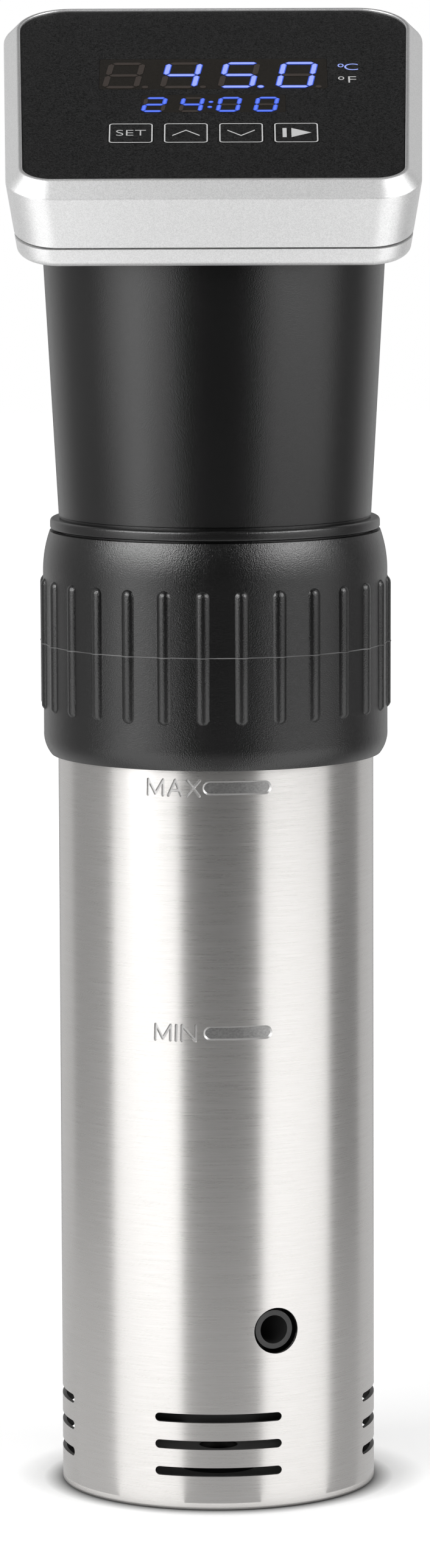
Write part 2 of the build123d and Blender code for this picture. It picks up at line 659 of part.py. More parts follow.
with BuildPart() as head_screws:
    head_screw_seat = SCREW_HEAD_H + SLIP - HEAD_DROP
    with BuildSketch(HEAD_PLANE.offset(head_screw_seat)):
        with Locations(*HEAD_BOSSES):
            Circle(SCREW_HEAD_R)
    extrude(amount=-SCREW_HEAD_H)
    with BuildSketch(HEAD_PLANE.offset(head_screw_seat)):
        with Locations(*HEAD_BOSSES):
            Circle(SCREW_R)
    extrude(amount=-head_screw_seat - PARTING_DROP + HEAD_SCREW_GRIP - SLIP)

with BuildPart() as cap_screws:
    with BuildSketch(HEAD_PLANE.offset(HEAD_FLOOR - HEAD_DROP)):
        with Locations(*CAP_SCREWS):
            Circle(SCREW_HEAD_R)
    extrude(amount=SCREW_HEAD_H)
    with BuildSketch(HEAD_PLANE.offset(HEAD_FLOOR - HEAD_DROP)):
        with Locations(*CAP_SCREWS):
            Circle(SCREW_R)
    extrude(amount=-CAP_SCREW_LENGTH)

# Panel with its two display windows and four key openings
with BuildPart() as panel_overlay:
    extrude(head_outline(PANEL_SINK, -SLIP), amount=-PANEL_T)
    extrude(window(PANEL_SINK, TEMP_W, TEMP_D, TEMP_Y, KEY_CORNER_R), amount=-PANEL_T, mode=Mode.SUBTRACT)
    extrude(window(PANEL_SINK, TIMER_W, TIMER_D, TIMER_Y, KEY_CORNER_R), amount=-PANEL_T, mode=Mode.SUBTRACT)
    for key_x in KEY_XS:
        extrude(
            window(PANEL_SINK, KEY_HOLE_W, KEY_HOLE_D, KEY_Y, KEY_CORNER_R + KEY_GAP, key_x),
            amount=-PANEL_T,
            mode=Mode.SUBTRACT,
        )

with BuildPart() as temperature_lens:
    extrude(
        window(PANEL_SINK, TEMP_W - 2 * RUN_FIT, TEMP_D - 2 * RUN_FIT, TEMP_Y, KEY_CORNER_R),
        amount=-PANEL_T,
    )

with BuildPart() as timer_lens:
    extrude(
        window(PANEL_SINK, TIMER_W - 2 * RUN_FIT, TIMER_D - 2 * RUN_FIT, TIMER_Y, KEY_CORNER_R),
        amount=-PANEL_T,
    )

led_high = PANEL_SINK + PANEL_T + LED_GAP
with BuildPart() as led_temperature:
    extrude(window(BOARD_DROP, TEMP_W, TEMP_D, TEMP_Y, KEY_CORNER_R), amount=BOARD_DROP - led_high)

with BuildPart() as led_timer:
    extrude(window(BOARD_DROP, TIMER_W, TIMER_D, TIMER_Y, KEY_CORNER_R), amount=BOARD_DROP - led_high)

with BuildPart() as display_board:
    extrude(head_outline(BOARD_DROP, bezel_inside - CLEAR), amount=-BOARD_T)
    with BuildSketch(HEAD_PLANE.offset(-BOARD_DROP)):
        with Locations(*HEAD_BOSSES):
            Circle(BOSS_STEM_R + SLIP)
    extrude(amount=-BOARD_T, mode=Mode.SUBTRACT)

with BuildPart() as tact_switches:
    for key_x in KEY_XS:
        extrude(window(BOARD_DROP, SWITCH_SIZE, SWITCH_SIZE, KEY_Y, KEY_CORNER_R, key_x), amount=SWITCH_H)

with BuildPart() as buzzer:
    with BuildSketch(HEAD_PLANE.offset(-BOARD_DROP - BOARD_T)):
        with Locations((0, BUZZER_Y)):
            Circle(BUZZER_R)
    extrude(amount=-BUZZER_H)
    with BuildSketch(HEAD_PLANE.offset(-BOARD_DROP - BOARD_T - BUZZER_H)):
        with Locations((0, BUZZER_Y)):
            Circle(SCREW_R)
    extrude(amount=BUZZER_H / 4, mode=Mode.SUBTRACT)

keys = {}
for key_name, key_x in zip(KEY_NAMES, KEY_XS):
    with BuildPart() as key:
        extrude(window(PANEL_SINK, KEY_W, KEY_D, KEY_Y, KEY_CORNER_R, key_x), amount=-PANEL_T)
        with BuildSketch(HEAD_PLANE.offset(-PANEL_SINK - PANEL_T)):
            with Locations((key_x, KEY_Y)):
                Circle(KEY_STEM_R)
        extrude(amount=PANEL_SINK + PANEL_T - BOARD_DROP + SWITCH_H + KEY_TRAVEL + SLIP)
    keys[key_name] = key

# Bulkhead with its seals and screws
with BuildPart() as bulkhead:
    with Locations((0, 0, BULKHEAD_LOW_Z)):
        Cylinder(SPIGOT_R, BULKHEAD_T, align=ON_BASE)
        Cylinder(SHAFT_R + CLEAR, BULKHEAD_T, align=ON_BASE, mode=Mode.SUBTRACT)
        Cylinder(SHAFT_SEAL_R, SHAFT_SEAL_H, align=ON_BASE, mode=Mode.SUBTRACT)
    with BuildSketch(Plane.XZ):
        with Locations((SPIGOT_R, BULKHEAD_LOW_Z + BULKHEAD_T / 2)):
            Rectangle(2 * SEAL_T, SEAL_H)
    revolve(axis=Axis.Z, mode=Mode.SUBTRACT)
    for screw_x, screw_y in BULKHEAD_SCREWS:
        with Locations((screw_x, screw_y, BULKHEAD_LOW_Z)):
            Cylinder(SCREW_HOLE_R, BULKHEAD_T, align=ON_BASE, mode=Mode.SUBTRACT)
    with Locations((0, 0, SPIGOT_LOW_Z)):
        with PolarLocations(MOTOR_SCREW_RING_R, 4):
            Hole(SCREW_HOLE_R, depth=BULKHEAD_T - SPIGOT_WALL)

with BuildPart() as bulkhead_seal:
    with Locations((0, 0, BULKHEAD_LOW_Z + BULKHEAD_T / 2)):
        Cylinder(SLEEVE_BORE_R - RUN_FIT, SEAL_H)
        Cylinder(SPIGOT_R - SEAL_T + PUSH_FIT, SEAL_H, mode=Mode.SUBTRACT)

with BuildPart() as shaft_seal:
    with Locations((0, 0, BULKHEAD_LOW_Z)):
        Cylinder(SHAFT_SEAL_R - PUSH_FIT, SHAFT_SEAL_H, align=ON_BASE)
        Cylinder(SHAFT_R + RUN_FIT, SHAFT_SEAL_H, align=ON_BASE, mode=Mode.SUBTRACT)

with BuildPart() as bulkhead_screws:
    for screw_x, screw_y in BULKHEAD_SCREWS:
        with Locations((screw_x, screw_y, BULKHEAD_LOW_Z)):
            Cylinder(SCREW_HEAD_R, SCREW_HEAD_H, align=ON_TOP)
            Cylinder(SCREW_R, BULKHEAD_T + BULKHEAD_SCREW_BOSS_H - SCREW_TIP_GAP, align=ON_BASE)

# Motor on its mount
with BuildPart() as motor_mount:
    with Locations((0, 0, SPIGOT_LOW_Z)):
        Cylinder(MOUNT_R, MOUNT_T, align=ON_BASE)
    with Locations((0, 0, MOTOR_LOW_Z)):
        Hole(BEARING_R)
        with PolarLocations(MOTOR_SCREW_RING_R, 4):
            Hole(SCREW_HOLE_R)

with BuildPart() as motor_screws:
    with Locations((0, 0, MOTOR_LOW_Z)):
        with PolarLocations(MOTOR_SCREW_RING_R, 4):
            Cylinder(MOTOR_SCREW_HEAD_R, SCREW_HEAD_H, align=ON_BASE)
            Cylinder(SCREW_R, MOUNT_T + BULKHEAD_T - SCREW_TIP_GAP, align=ON_TOP)

with BuildPart() as motor_can:
    with Locations((0, 0, MOTOR_LOW_Z)):
        Cylinder(MOTOR_R, MOTOR_H, align=ON_BASE)
        Cylinder(SHAFT_R + MOTOR_FLOOR, MOTOR_H, align=ON_BASE, mode=Mode.SUBTRACT)
    with Locations((0, 0, MOTOR_LOW_Z + MOTOR_FLOOR)):
        Cylinder(MOTOR_R - MOTOR_WALL, MOTOR_H, align=ON_BASE, mode=Mode.SUBTRACT)

with BuildPart() as motor_end_bell:
    with Locations((0, 0, MOTOR_HIGH_Z)):
        Cylinder(MOTOR_R, BELL_T, align=ON_BASE)
        Cylinder(BELL_HUB_R, BEARING_H, align=ON_TOP)
        Cylinder(BEARING_R, BEARING_H, align=ON_TOP, mode=Mode.SUBTRACT)
    with Locations((0, 0, MOTOR_HIGH_Z + BELL_T)):
        Hole(SHAFT_R + MOTOR_FLOOR)

with BuildPart() as upper_bearing:
    with Locations((0, 0, MOTOR_HIGH_Z)):
        Cylinder(BEARING_R - PUSH_FIT, BEARING_H, align=ON_TOP)
        Cylinder(SHAFT_R + RUN_FIT, BEARING_H, align=ON_TOP, mode=Mode.SUBTRACT)

with BuildPart() as lower_bearing:
    with Locations((0, 0, MOTOR_LOW_Z + MOTOR_FLOOR)):
        Cylinder(BEARING_R - PUSH_FIT, BEARING_H, align=ON_BASE)
        Cylinder(SHAFT_R + RUN_FIT, BEARING_H, align=ON_BASE, mode=Mode.SUBTRACT)

with BuildPart() as stator:
    with Locations((0, 0, MOTOR_MID_Z)):
        Cylinder(MOTOR_R - MOTOR_WALL - SLIP, STATOR_H)
        Cylinder(ROTOR_R + AIR_GAP, STATOR_H, mode=Mode.SUBTRACT)

# Spinning pieces on one shaft line
with BuildPart() as motor_shaft:
    with Locations((0, 0, SHAFT_JOIN_Z)):
        Cylinder(SHAFT_R, SHAFT_TOP_Z - SHAFT_JOIN_Z, align=ON_BASE)

with BuildPart() as drive_shaft:
    with Locations((0, 0, SHAFT_JOIN_Z)):
        Cylinder(SHAFT_R, SHAFT_JOIN_Z - IMPELLER_LOW_Z, align=ON_TOP)

with BuildPart() as shaft_coupling:
    with Locations((0, 0, SHAFT_JOIN_Z)):
        Cylinder(COUPLING_R, COUPLING_H)
        Cylinder(SHAFT_R + PUSH_FIT, COUPLING_H, mode=Mode.SUBTRACT)
        Cylinder(COUPLING_R, COUPLING_H / 10, mode=Mode.SUBTRACT)
        Cylinder(COUPLING_R - 1.0, COUPLING_H / 10)
        Cylinder(SHAFT_R + PUSH_FIT, COUPLING_H / 10, mode=Mode.SUBTRACT)

with BuildPart() as rotor_core:
    with Locations((0, 0, MOTOR_MID_Z)):
        Cylinder(ROTOR_R, ROTOR_H)
        Cylinder(SHAFT_R + PUSH_FIT, ROTOR_H, mode=Mode.SUBTRACT)

with BuildPart() as cooling_fan:
    with Locations((0, 0, FAN_LOW_Z + FAN_H / 2)):
        Cylinder(FAN_HUB_R, FAN_H)
        with PolarLocations((FAN_HUB_R + FAN_R) / 2, FAN_BLADES):
            Box(FAN_R - FAN_HUB_R + 1.0, BLADE_T, FAN_H - 1.0, rotation=(35, 0, 0))
        Cylinder(SHAFT_R + PUSH_FIT, FAN_H, mode=Mode.SUBTRACT)

with BuildPart() as impeller:
    with Locations((0, 0, IMPELLER_HIGH_Z)):
        Cylinder(IMPELLER_R, IMPELLER_DISC_T, align=ON_TOP)
        Cylinder(IMPELLER_HUB_R, IMPELLER_H, align=ON_TOP)
        with PolarLocations((IMPELLER_HUB_R + IMPELLER_R) / 2, IMPELLER_BLADES):
            Box(IMPELLER_R - IMPELLER_HUB_R, BLADE_T, IMPELLER_H, rotation=(0, 0, 20), align=ON_TOP)
        Cylinder(SHAFT_R + PUSH_FIT, IMPELLER_H, align=ON_TOP, mode=Mode.SUBTRACT)

# Control electronics on a deck above the fan
with BuildPart() as board_deck:
    with Locations((0, 0, LEDGE_Z)):
        Cylinder(DECK_R, DECK_T, align=ON_BASE)
    with Locations((0, 0, DECK_TOP_Z)):
        with PolarLocations(FAN_R, FAN_BLADES):
            Hole(FAN_HUB_R / 2)

with BuildPart() as power_board:
    with Locations((0, 0, DECK_TOP_Z)):
        Cylinder(POWER_BOARD_R, BOARD_T, align=ON_BASE)

with BuildPart() as relay:
    with Locations((*RELAY_AT, BOARD_TOP_Z)):
        Box(*RELAY, align=ON_BASE)
    fillet(relay.edges().filter_by(Axis.Z), KEY_CORNER_R)

with BuildPart() as transformer:
    with Locations((*TRANSFORMER_AT, BOARD_TOP_Z)):
        Box(*TRANSFORMER, align=ON_BASE)
    fillet(transformer.edges().filter_by(Axis.Z), KEY_CORNER_R)

with BuildPart() as capacitor:
    with Locations((*CAPACITOR_AT, BOARD_TOP_Z)):
        Cylinder(CAPACITOR_R, CAPACITOR_H, align=ON_BASE)
    fillet(capacitor.edges().group_by(Axis.Z)[-1], KEY_CORNER_R)

with BuildPart() as heat_sink:
    with Locations((*SINK_AT, BOARD_TOP_Z)):
        Box(SINK[0], SINK[1], SINK_FOOT, align=ON_BASE)
        with GridLocations((SINK[0] - FIN_T) / (SINK_FINS - 1), 0, SINK_FINS, 1):
            Box(FIN_T, SINK[1], SINK[2], align=ON_BASE)

with BuildPart() as terminal_block:
    with Locations((*TERMINALS_AT, BOARD_TOP_Z)):
        Box(*TERMINALS, align=ON_BASE)
    with Locations((*TERMINALS_AT, BOARD_TOP_Z + TERMINALS[2])):
        with GridLocations(TERMINALS[0] / 3, 0, 3, 1):
            Hole(SCREW_R, depth=TERMINALS[2] / 3)

# Wet end: heater, sensors and the pump on its rods
with BuildPart() as heater_element:
    for heater_x in (-HEATER_X, HEATER_X):
        with BuildLine():
            Line((heater_x, HEATER_Y, BULKHEAD_LOW_Z), (heater_x, HEATER_Y, HEATER_BEND_Z))
            ThreePointArc(
                (heater_x, HEATER_Y, HEATER_BEND_Z),
                (heater_x, 0, HEATER_BEND_Z - HEATER_Y),
                (heater_x, -HEATER_Y, HEATER_BEND_Z),
            )
            Line((heater_x, -HEATER_Y, HEATER_BEND_Z), (heater_x, -HEATER_Y, BULKHEAD_LOW_Z))
        with BuildSketch(Plane((heater_x, HEATER_Y, BULKHEAD_LOW_Z), z_dir=(0, 0, -1))):
            Circle(HEATER_R)
        sweep()

with BuildPart() as heater_terminals:
    for end_x, end_y in HEATER_ENDS:
        with Locations((end_x, end_y, SPIGOT_LOW_Z)):
            Cylinder(TERMINAL_R, TERMINAL_H, align=ON_BASE)

with BuildPart() as temperature_probe:
    with Locations((0, PROBE_Y, BULKHEAD_LOW_Z)):
        Cylinder(PROBE_R, PROBE_LENGTH, align=ON_TOP)
    fillet(temperature_probe.edges().group_by(Axis.Z)[0], PROBE_R * 0.8)

with BuildPart() as level_rods:
    for rod_x in (-LEVEL_ROD_X, LEVEL_ROD_X):
        with Locations((rod_x, LEVEL_ROD_Y, BULKHEAD_LOW_Z)):
            Cylinder(LEVEL_ROD_R, BULKHEAD_LOW_Z - MIN_MARK_Z, align=ON_TOP)

with BuildPart() as standoff_rods:
    with Locations((0, 0, PUMP_TOP_Z)):
        with PolarLocations(ROD_RING_R, 4, start_angle=45):
            Cylinder(ROD_R, BULKHEAD_LOW_Z - PUMP_TOP_Z, align=ON_BASE)

with BuildPart() as pump_housing:
    with Locations((0, 0, PUMP_TOP_Z)):
        Cylinder(PUMP_PLATE_R, PUMP_PLATE_T, align=ON_TOP)
        Cylinder(PUMP_R, PUMP_TOP_Z - PUMP_LOW_Z, align=ON_TOP)
        Cylinder(GUIDE_R, PUMP_PLATE_T, align=ON_TOP, mode=Mode.SUBTRACT)
    with Locations((0, 0, PUMP_LOW_Z)):
        Cylinder(PUMP_BORE_R, PUMP_TOP_Z - PUMP_PLATE_T - PUMP_LOW_Z, align=ON_BASE, mode=Mode.SUBTRACT)
        with PolarLocations(PUMP_SCREW_RING_R, 4):
            Cylinder(SCREW_HOLE_R, PUMP_SCREW_LENGTH, align=ON_BASE, mode=Mode.SUBTRACT)
    with BuildSketch(radial_plane(OUTLET_ANGLE, PUMP_R + CLEAR, OUTLET_Z)):
        Circle(NOZZLE_R + RUN_FIT)
    extrude(amount=PUMP_BORE_R - PUMP_R - 2 * CLEAR, mode=Mode.SUBTRACT)

with BuildPart() as pump_cover:
    with Locations((0, 0, PUMP_LOW_Z)):
        Cylinder(COVER_R, PUMP_LOW_Z - SKIRT_LOW_Z, align=ON_TOP)
    with Locations((0, 0, SKIRT_LOW_Z)):
        Cylinder(COVER_R - SKIRT_WALL, COVER_LOW_Z - SKIRT_LOW_Z, align=ON_BASE, mode=Mode.SUBTRACT)
    with Locations((0, 0, PUMP_LOW_Z)):
        Hole(INTAKE_R)
        with PolarLocations(PUMP_SCREW_RING_R, 4):
            Hole(SCREW_HOLE_R)

with BuildPart() as pump_screws:
    with Locations((0, 0, COVER_LOW_Z)):
        with PolarLocations(PUMP_SCREW_RING_R, 4):
            Cylinder(SCREW_HEAD_R, SCREW_HEAD_H, align=ON_TOP)
            Cylinder(SCREW_R, COVER_T + PUMP_SCREW_LENGTH - SLIP, align=ON_BASE)

with BuildPart() as outlet_nozzle:
    nozzle_tip_r = SLEEVE_R - NOZZLE_SETBACK
    with BuildSketch(radial_plane(OUTLET_ANGLE, nozzle_tip_r, OUTLET_Z)):
        Circle(NOZZLE_R)
    extrude(amount=(PUMP_R + PUMP_BORE_R) / 2 - nozzle_tip_r)
    with BuildSketch(radial_plane(OUTLET_ANGLE, PUMP_R + CLEAR, OUTLET_Z)):
        Circle(NOZZLE_FLANGE_R)
    extrude(amount=NOZZLE_FLANGE_T)
    with BuildSketch(radial_plane(OUTLET_ANGLE, nozzle_tip_r, OUTLET_Z)):
        Circle(NOZZLE_BORE_R)
    extrude(amount=-nozzle_tip_r, mode=Mode.SUBTRACT)

with BuildPart() as shaft_guide:
    with Locations((0, 0, PUMP_TOP_Z)):
        Cylinder(GUIDE_FLANGE_R, GUIDE_FLANGE_T, align=ON_BASE)
        Cylinder(GUIDE_R - PUSH_FIT, PUMP_PLATE_T + GUIDE_DROP, align=ON_TOP)
    with Locations((0, 0, PUMP_TOP_Z + GUIDE_FLANGE_T)):
        Hole(SHAFT_R + RUN_FIT)

# One file for each piece
PIECES = {
    "steel_sleeve": steel_sleeve,
    "base_plate": base_plate,
    "grip_ring": grip_ring,
    "ring_gasket": ring_gasket,
    "neck_front_shell": neck_front_shell,
    "neck_rear_shell": neck_rear_shell,
    "neck_screws": neck_screws,
    "cord_inlet": cord_inlet,
    "bezel_frame": bezel_frame,
    "head_base": head_base,
    "head_screws": head_screws,
    "cap_screws": cap_screws,
    "panel_overlay": panel_overlay,
    "temperature_lens": temperature_lens,
    "timer_lens": timer_lens,
    "led_temperature": led_temperature,
    "led_timer": led_timer,
    "display_board": display_board,
    "tact_switches": tact_switches,
    "buzzer": buzzer,
    "bulkhead": bulkhead,
    "bulkhead_seal": bulkhead_seal,
    "shaft_seal": shaft_seal,
    "bulkhead_screws": bulkhead_screws,
    "motor_mount": motor_mount,
    "motor_screws": motor_screws,
    "motor_can": motor_can,
    "motor_end_bell": motor_end_bell,
    "upper_bearing": upper_bearing,
    "lower_bearing": lower_bearing,
    "stator": stator,
    "motor_shaft": motor_shaft,
    "drive_shaft": drive_shaft,
    "shaft_coupling": shaft_coupling,
    "rotor_core": rotor_core,
    "cooling_fan": cooling_fan,
    "impeller": impeller,
    "board_deck": board_deck,
    "power_board": power_board,
    "relay": relay,
    "transformer": transformer,
    "capacitor": capacitor,
    "heat_sink": heat_sink,
    "terminal_block": terminal_block,
    "heater_element": heater_element,
    "heater_terminals": heater_terminals,
    "temperature_probe": temperature_probe,
    "level_rods": level_rods,
    "standoff_rods": standoff_rods,
    "pump_housing": pump_housing,
    "pump_cover": pump_cover,
    "pump_screws": pump_screws,
    "outlet_nozzle": outlet_nozzle,
    "shaft_guide": shaft_guide,
    **keys,
}
for piece_name, piece in PIECES.items():
    piece.part.label = piece_name
    export_step(piece.part, f"parts/{piece_name}.step")
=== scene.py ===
import cmath
import json
import math

import bmesh
import bpy
from mathutils import Matrix, Vector


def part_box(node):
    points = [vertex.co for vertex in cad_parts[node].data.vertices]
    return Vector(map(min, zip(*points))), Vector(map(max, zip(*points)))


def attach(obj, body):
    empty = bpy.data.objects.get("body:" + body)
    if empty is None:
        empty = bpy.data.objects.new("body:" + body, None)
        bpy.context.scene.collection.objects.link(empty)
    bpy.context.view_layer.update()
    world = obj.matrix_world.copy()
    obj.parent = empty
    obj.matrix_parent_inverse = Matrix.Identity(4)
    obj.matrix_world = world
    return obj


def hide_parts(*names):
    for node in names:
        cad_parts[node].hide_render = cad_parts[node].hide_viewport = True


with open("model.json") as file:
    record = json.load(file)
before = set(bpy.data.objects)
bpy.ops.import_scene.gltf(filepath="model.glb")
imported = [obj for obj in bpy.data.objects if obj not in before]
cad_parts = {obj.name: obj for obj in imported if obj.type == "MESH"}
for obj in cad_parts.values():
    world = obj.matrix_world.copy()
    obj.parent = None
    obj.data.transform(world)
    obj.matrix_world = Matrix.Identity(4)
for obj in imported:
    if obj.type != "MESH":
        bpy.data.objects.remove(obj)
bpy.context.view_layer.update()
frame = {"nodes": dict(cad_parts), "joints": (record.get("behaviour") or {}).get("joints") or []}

# Meshes are modelled in millimetres, in the part's frame, and scaled to metres when they are finished
MM = 0.001


def mm_box(node):
    """Lowest and highest corner of a CAD node, in millimetres."""
    low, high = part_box(node)
    return low / MM, high / MM


# Steel sleeve
SLEEVE_HIGH = mm_box("steel_sleeve")[1]
SLEEVE_R = SLEEVE_HIGH.x
SLEEVE_TOP = SLEEVE_HIGH.z
SLEEVE_WALL = 0.8
SLEEVE_STEPS = 180
FOOT_LIP = 3.0
FOOT_ROUND = 0.7
SLOT_GROUPS = 4
SLOT_ROWS = 3
SLOT_LOW_Z = 7.9
SLOT_PITCH = 5.5
SLOT_HEIGHT = 1.8
SLOT_SPAN = 25.5
OUTLET_ANGLE = 21.6  # degrees to the right of the front
OUTLET_Z = 36.5
OUTLET_HOLE_R = 4.7
MARK_ZS = {"MIN": 97.5, "MAX": 146.9}
MARK_X = 4.3
MARK_LENGTH = 14.0
MARK_HEIGHT = 2.8
STAMP_DEPTH = 0.34
STAMP_FACET = 1.2
LETTER_HEIGHT = 3.05
LETTER_WIDTHS = {"M": 3.2, "I": 0.0, "N": 2.8, "A": 2.65, "X": 2.5}
LETTER_GAP = 1.17
LETTER_STROKE = 0.62
WORD_END_XS = {"MIN": -4.3, "MAX": -3.3}
LETTER_LEAN = 0.03

# Grip ring
RING_LOW, RING_HIGH = mm_box("grip_ring")
RING_R = 34.9
RING_END_R = 33.5
RING_BORE_R = SLEEVE_R + 0.3
RING_SHOULDER = 8.4
RING_FOOT_ROUND = 4.6
RING_STEPS = 168
RIB_COUNT = 28
RIB_R = 35.65
RIB_WIDTH = 3.4
RIB_LOW_Z = RING_LOW.z + 8.9
RIB_HIGH_Z = RING_HIGH.z - 9.0
RIB_START = -4.2  # degrees to the right of the front
MOULD_LINE_Z = 173.2
MOULD_LINE = (0.2, 0.09)  # width, and how far it stands proud
SPLIT_LINE_ANGLE = -5.8  # degrees to the right of the front
SPLIT_LINE = (0.1, 0.03)

# Neck
NECK_FOOT_R = 31.6
NECK_DRAFT = 3.15  # degrees
NECK_WALL = 2.2
FLANGE_R = 33.4
FLANGE_LOW_Z = RING_HIGH.z + 0.4
FLANGE_ROUNDS = (0.5, 0.7)  # lower and upper edge
NECK_FOOT_Z = FLANGE_LOW_Z + 2.2
NECK_GROOVE = (0.25, 0.05, 0.35, 0.5)  # depth, and heights over the flange: its foot, its top and the wall's foot
SPIGOT_R = 30.9
SPIGOT_LOW_Z = mm_box("neck_front_shell")[0].z
NECK_STEPS = 96
SEAM_GAP = 0.1
SEAM_STRIP = math.radians(1.2)
NECK_SCREW_X = 24.6
NECK_SCREWS = [(x, NECK_FOOT_Z + rise) for x in (-NECK_SCREW_X, NECK_SCREW_X) for rise in (13.0, 49.0)]
NECK_SCREW_SEAT_Y = 12.0
NECK_SCREW_R = 2.7
INLET_Z = NECK_FOOT_Z + 53.0
INLET_R = 7.0

# Head: its frame is tilted to the panel, whose keys are pressed along the normal
PRESS_AXIS = next(Vector(j["axis"]) for j in frame["joints"] if j["name"] == "key_set_press")
HEAD_Y = -6.25
HEAD_Z = NECK_FOOT_Z + 85.87
PANEL_NORMAL = -PRESS_AXIS
PANEL_UP = PANEL_NORMAL.cross(Vector((1, 0, 0)))
HEAD = Matrix.Translation((0, HEAD_Y, HEAD_Z)) @ Matrix(
    ((1, PANEL_UP.x, PANEL_NORMAL.x), (0, PANEL_UP.y, PANEL_NORMAL.y), (0, PANEL_UP.z, PANEL_NORMAL.z))
).to_4x4()
PANEL_FRONT_W = 74.3
PANEL_BACK_W = 79.6
PANEL_DEPTH = 84.0
FRONT_CORNER_R = 5.5
BACK_CORNER_R = 10.5
RIM_LIP = 0.7
RIM_GROW = 3.4
RIM_ROUND = 0.28
CHAMFER_DROP = 2.95
HEAD_DRAFT = 8.0  # degrees
PARTING_DROP = 14.2
PARTING_GAP = 0.3
PARTING_LEDGE = 1.6
HEAD_DROP = 18.9
HEAD_EDGE_R = 1.8
COLLAR_DROP = 0.6
COLLAR_ROOT = 0.2
COLLAR_GAP = 0.1
COLLAR_WALL = 1.2
HEAD_SCREW_R = 2.7
HEAD_SCREW_SINK = 1.7
HEAD_SCREWS = [
    (side * x, y)
    for x, y in (
        (PANEL_FRONT_W / 2 - 5.0, 5.0 - PANEL_DEPTH / 2),
        (PANEL_BACK_W / 2 - 7.4, PANEL_DEPTH / 2 - 7.4),
    )
    for side in (-1, 1)
]
SCREW_HEAD_R = 2.4
SCREW_HEAD_H = 1.6
SCREW_HOLE_STEPS = 40
PANEL_SINK = 0.4
PANEL_WELL = 1.5
PANEL_LEDGE = 3.0

# Panel print and displays, in the head's frame
PRINT_LIFT = 0.03
PRINT_T = 0.02
PRINT_THINNING = 0.06
KEY_PITCH = 10.9
KEY_W = 8.85
KEY_D = 9.45
KEY_CORNER_R = 0.8
KEY_Y = -19.6
KEY_LINE = 0.26
KEY_LINE_INSET = 0.1
SET_SIZE = 4.0
CHEVRON_HALF_W = 2.7
CHEVRON_RISE = 1.45
CHEVRON_LINE = 0.32
START_HALF_H = 2.2
START_BAR_XS = (-2.7, -1.9)
START_TRIANGLE_XS = (-0.95, 3.0)
DIGITS_X = -0.6
TEMP_Y = 8.95
TEMP_PITCH = 11.6
TEMP_DIGIT = (7.4, 12.9, 1.15)  # width, height and width of a segment
TIMER_Y = -5.7
TIMER_PITCH = 7.44
TIMER_DIGIT = (4.6, 7.2, 0.78)
DIGIT_LEAN = 0.11
SEGMENT_GAP = 0.2
SEGMENT_GLOW = 0.07
SEGMENT_CORE = 0.13
DOT_GLOW = 0.1
DOT_CORE = 0.08
POINT = (4.3, -5.85, 0.62)  # place from its digit's centre, and radius
COLON = (0.12, 1.25, 0.4)
UNIT_SIZE = 4.7
UNIT_X = 27.8
CELSIUS_Y = 12.7
FAHRENHEIT_Y = 6.3
DEGREE_SHIFT = (-2.1, 0.9)
DEGREE_HALF_SIZE = (0.62, 0.85)
DEGREE_LINE = 0.24


# Mesh helpers
def face_out(bm):
    """Turns the faces of a shape the same way, which is outwards on a closed one."""
    bmesh.ops.recalc_face_normals(bm, faces=bm.faces)
    return bm


def put(bm, place):
    """Moves a whole shape by a matrix."""
    bmesh.ops.transform(bm, matrix=place, verts=bm.verts)
    return bm


def cut_off(bm, at, normal):
    """Takes away what lies beyond a plane."""
    whole = bm.verts[:] + bm.edges[:] + bm.faces[:]
    bmesh.ops.bisect_plane(bm, geom=whole, plane_co=at, plane_no=normal, clear_outer=True)


def open_edges(bm):
    return [e for e in bm.edges if e.is_boundary]


def turned(profile, steps, angle=2 * math.pi, start=0.0):
    """A closed profile of (radius, height) points turned about Z."""
    bm = bmesh.new()
    turn = Matrix.Rotation(start, 4, "Z")
    verts = [bm.verts.new(turn @ Vector((r, 0, z))) for r, z in profile]
    edges = [bm.edges.new(pair) for pair in zip(verts, verts[1:] + verts[:1])]
    whole = angle > 6.28
    bmesh.ops.spin(
        bm, geom=verts + edges, cent=(0, 0, 0), axis=(0, 0, 1), angle=angle, steps=steps, use_merge=whole,
        use_duplicate=False,
    )
    bmesh.ops.remove_doubles(bm, verts=bm.verts, dist=1e-4)
    if not whole:
        bmesh.ops.holes_fill(bm, edges=open_edges(bm), sides=0)
    return face_out(bm)


def arc(centre, radius, start, end, count):
    """Points of a circular arc in a profile, angles in degrees."""
    turns = [math.radians(start + (end - start) * step / count) for step in range(count + 1)]
    return [(centre[0] + radius * math.cos(a), centre[1] + radius * math.sin(a)) for a in turns]


def three_point_arc(a, b, c, count):
    """Points of the arc from a through b to c in a profile."""
    a, b, c = complex(*a), complex(*b), complex(*c)
    ratio = (c - a) / (b - a)
    centre = a + (b - a) * (ratio - abs(ratio) ** 2) / (2j * ratio.imag)
    start, end = cmath.phase(a - centre), cmath.phase(c - centre)
    end = start + (end - start + math.pi) % (2 * math.pi) - math.pi
    return arc((centre.real, centre.imag), abs(a - centre), math.degrees(start), math.degrees(end), count)


def block(size, centre=(0, 0, 0)):
    """A box of a size round a centre."""
    bm = bmesh.new()
    bmesh.ops.create_cube(bm, size=1.0, matrix=Matrix.Translation(centre) @ Matrix.Diagonal((*size, 1)))
    return bm


def cylinder(radius, depth, place, segments):
    """A closed cylinder along the Z axis of its place."""
    bm = bmesh.new()
    bmesh.ops.create_cone(
        bm, cap_ends=True, segments=segments, radius1=radius, radius2=radius, depth=depth, matrix=place
    )
    return bm


def bevelled(bm, geom, offset, segments, affect="EDGES"):
    bmesh.ops.bevel(
        bm, geom=geom, offset=offset, offset_type="OFFSET", affect=affect, segments=segments, profile=0.5, material=-1,
        clamp_overlap=affect == "EDGES",
    )


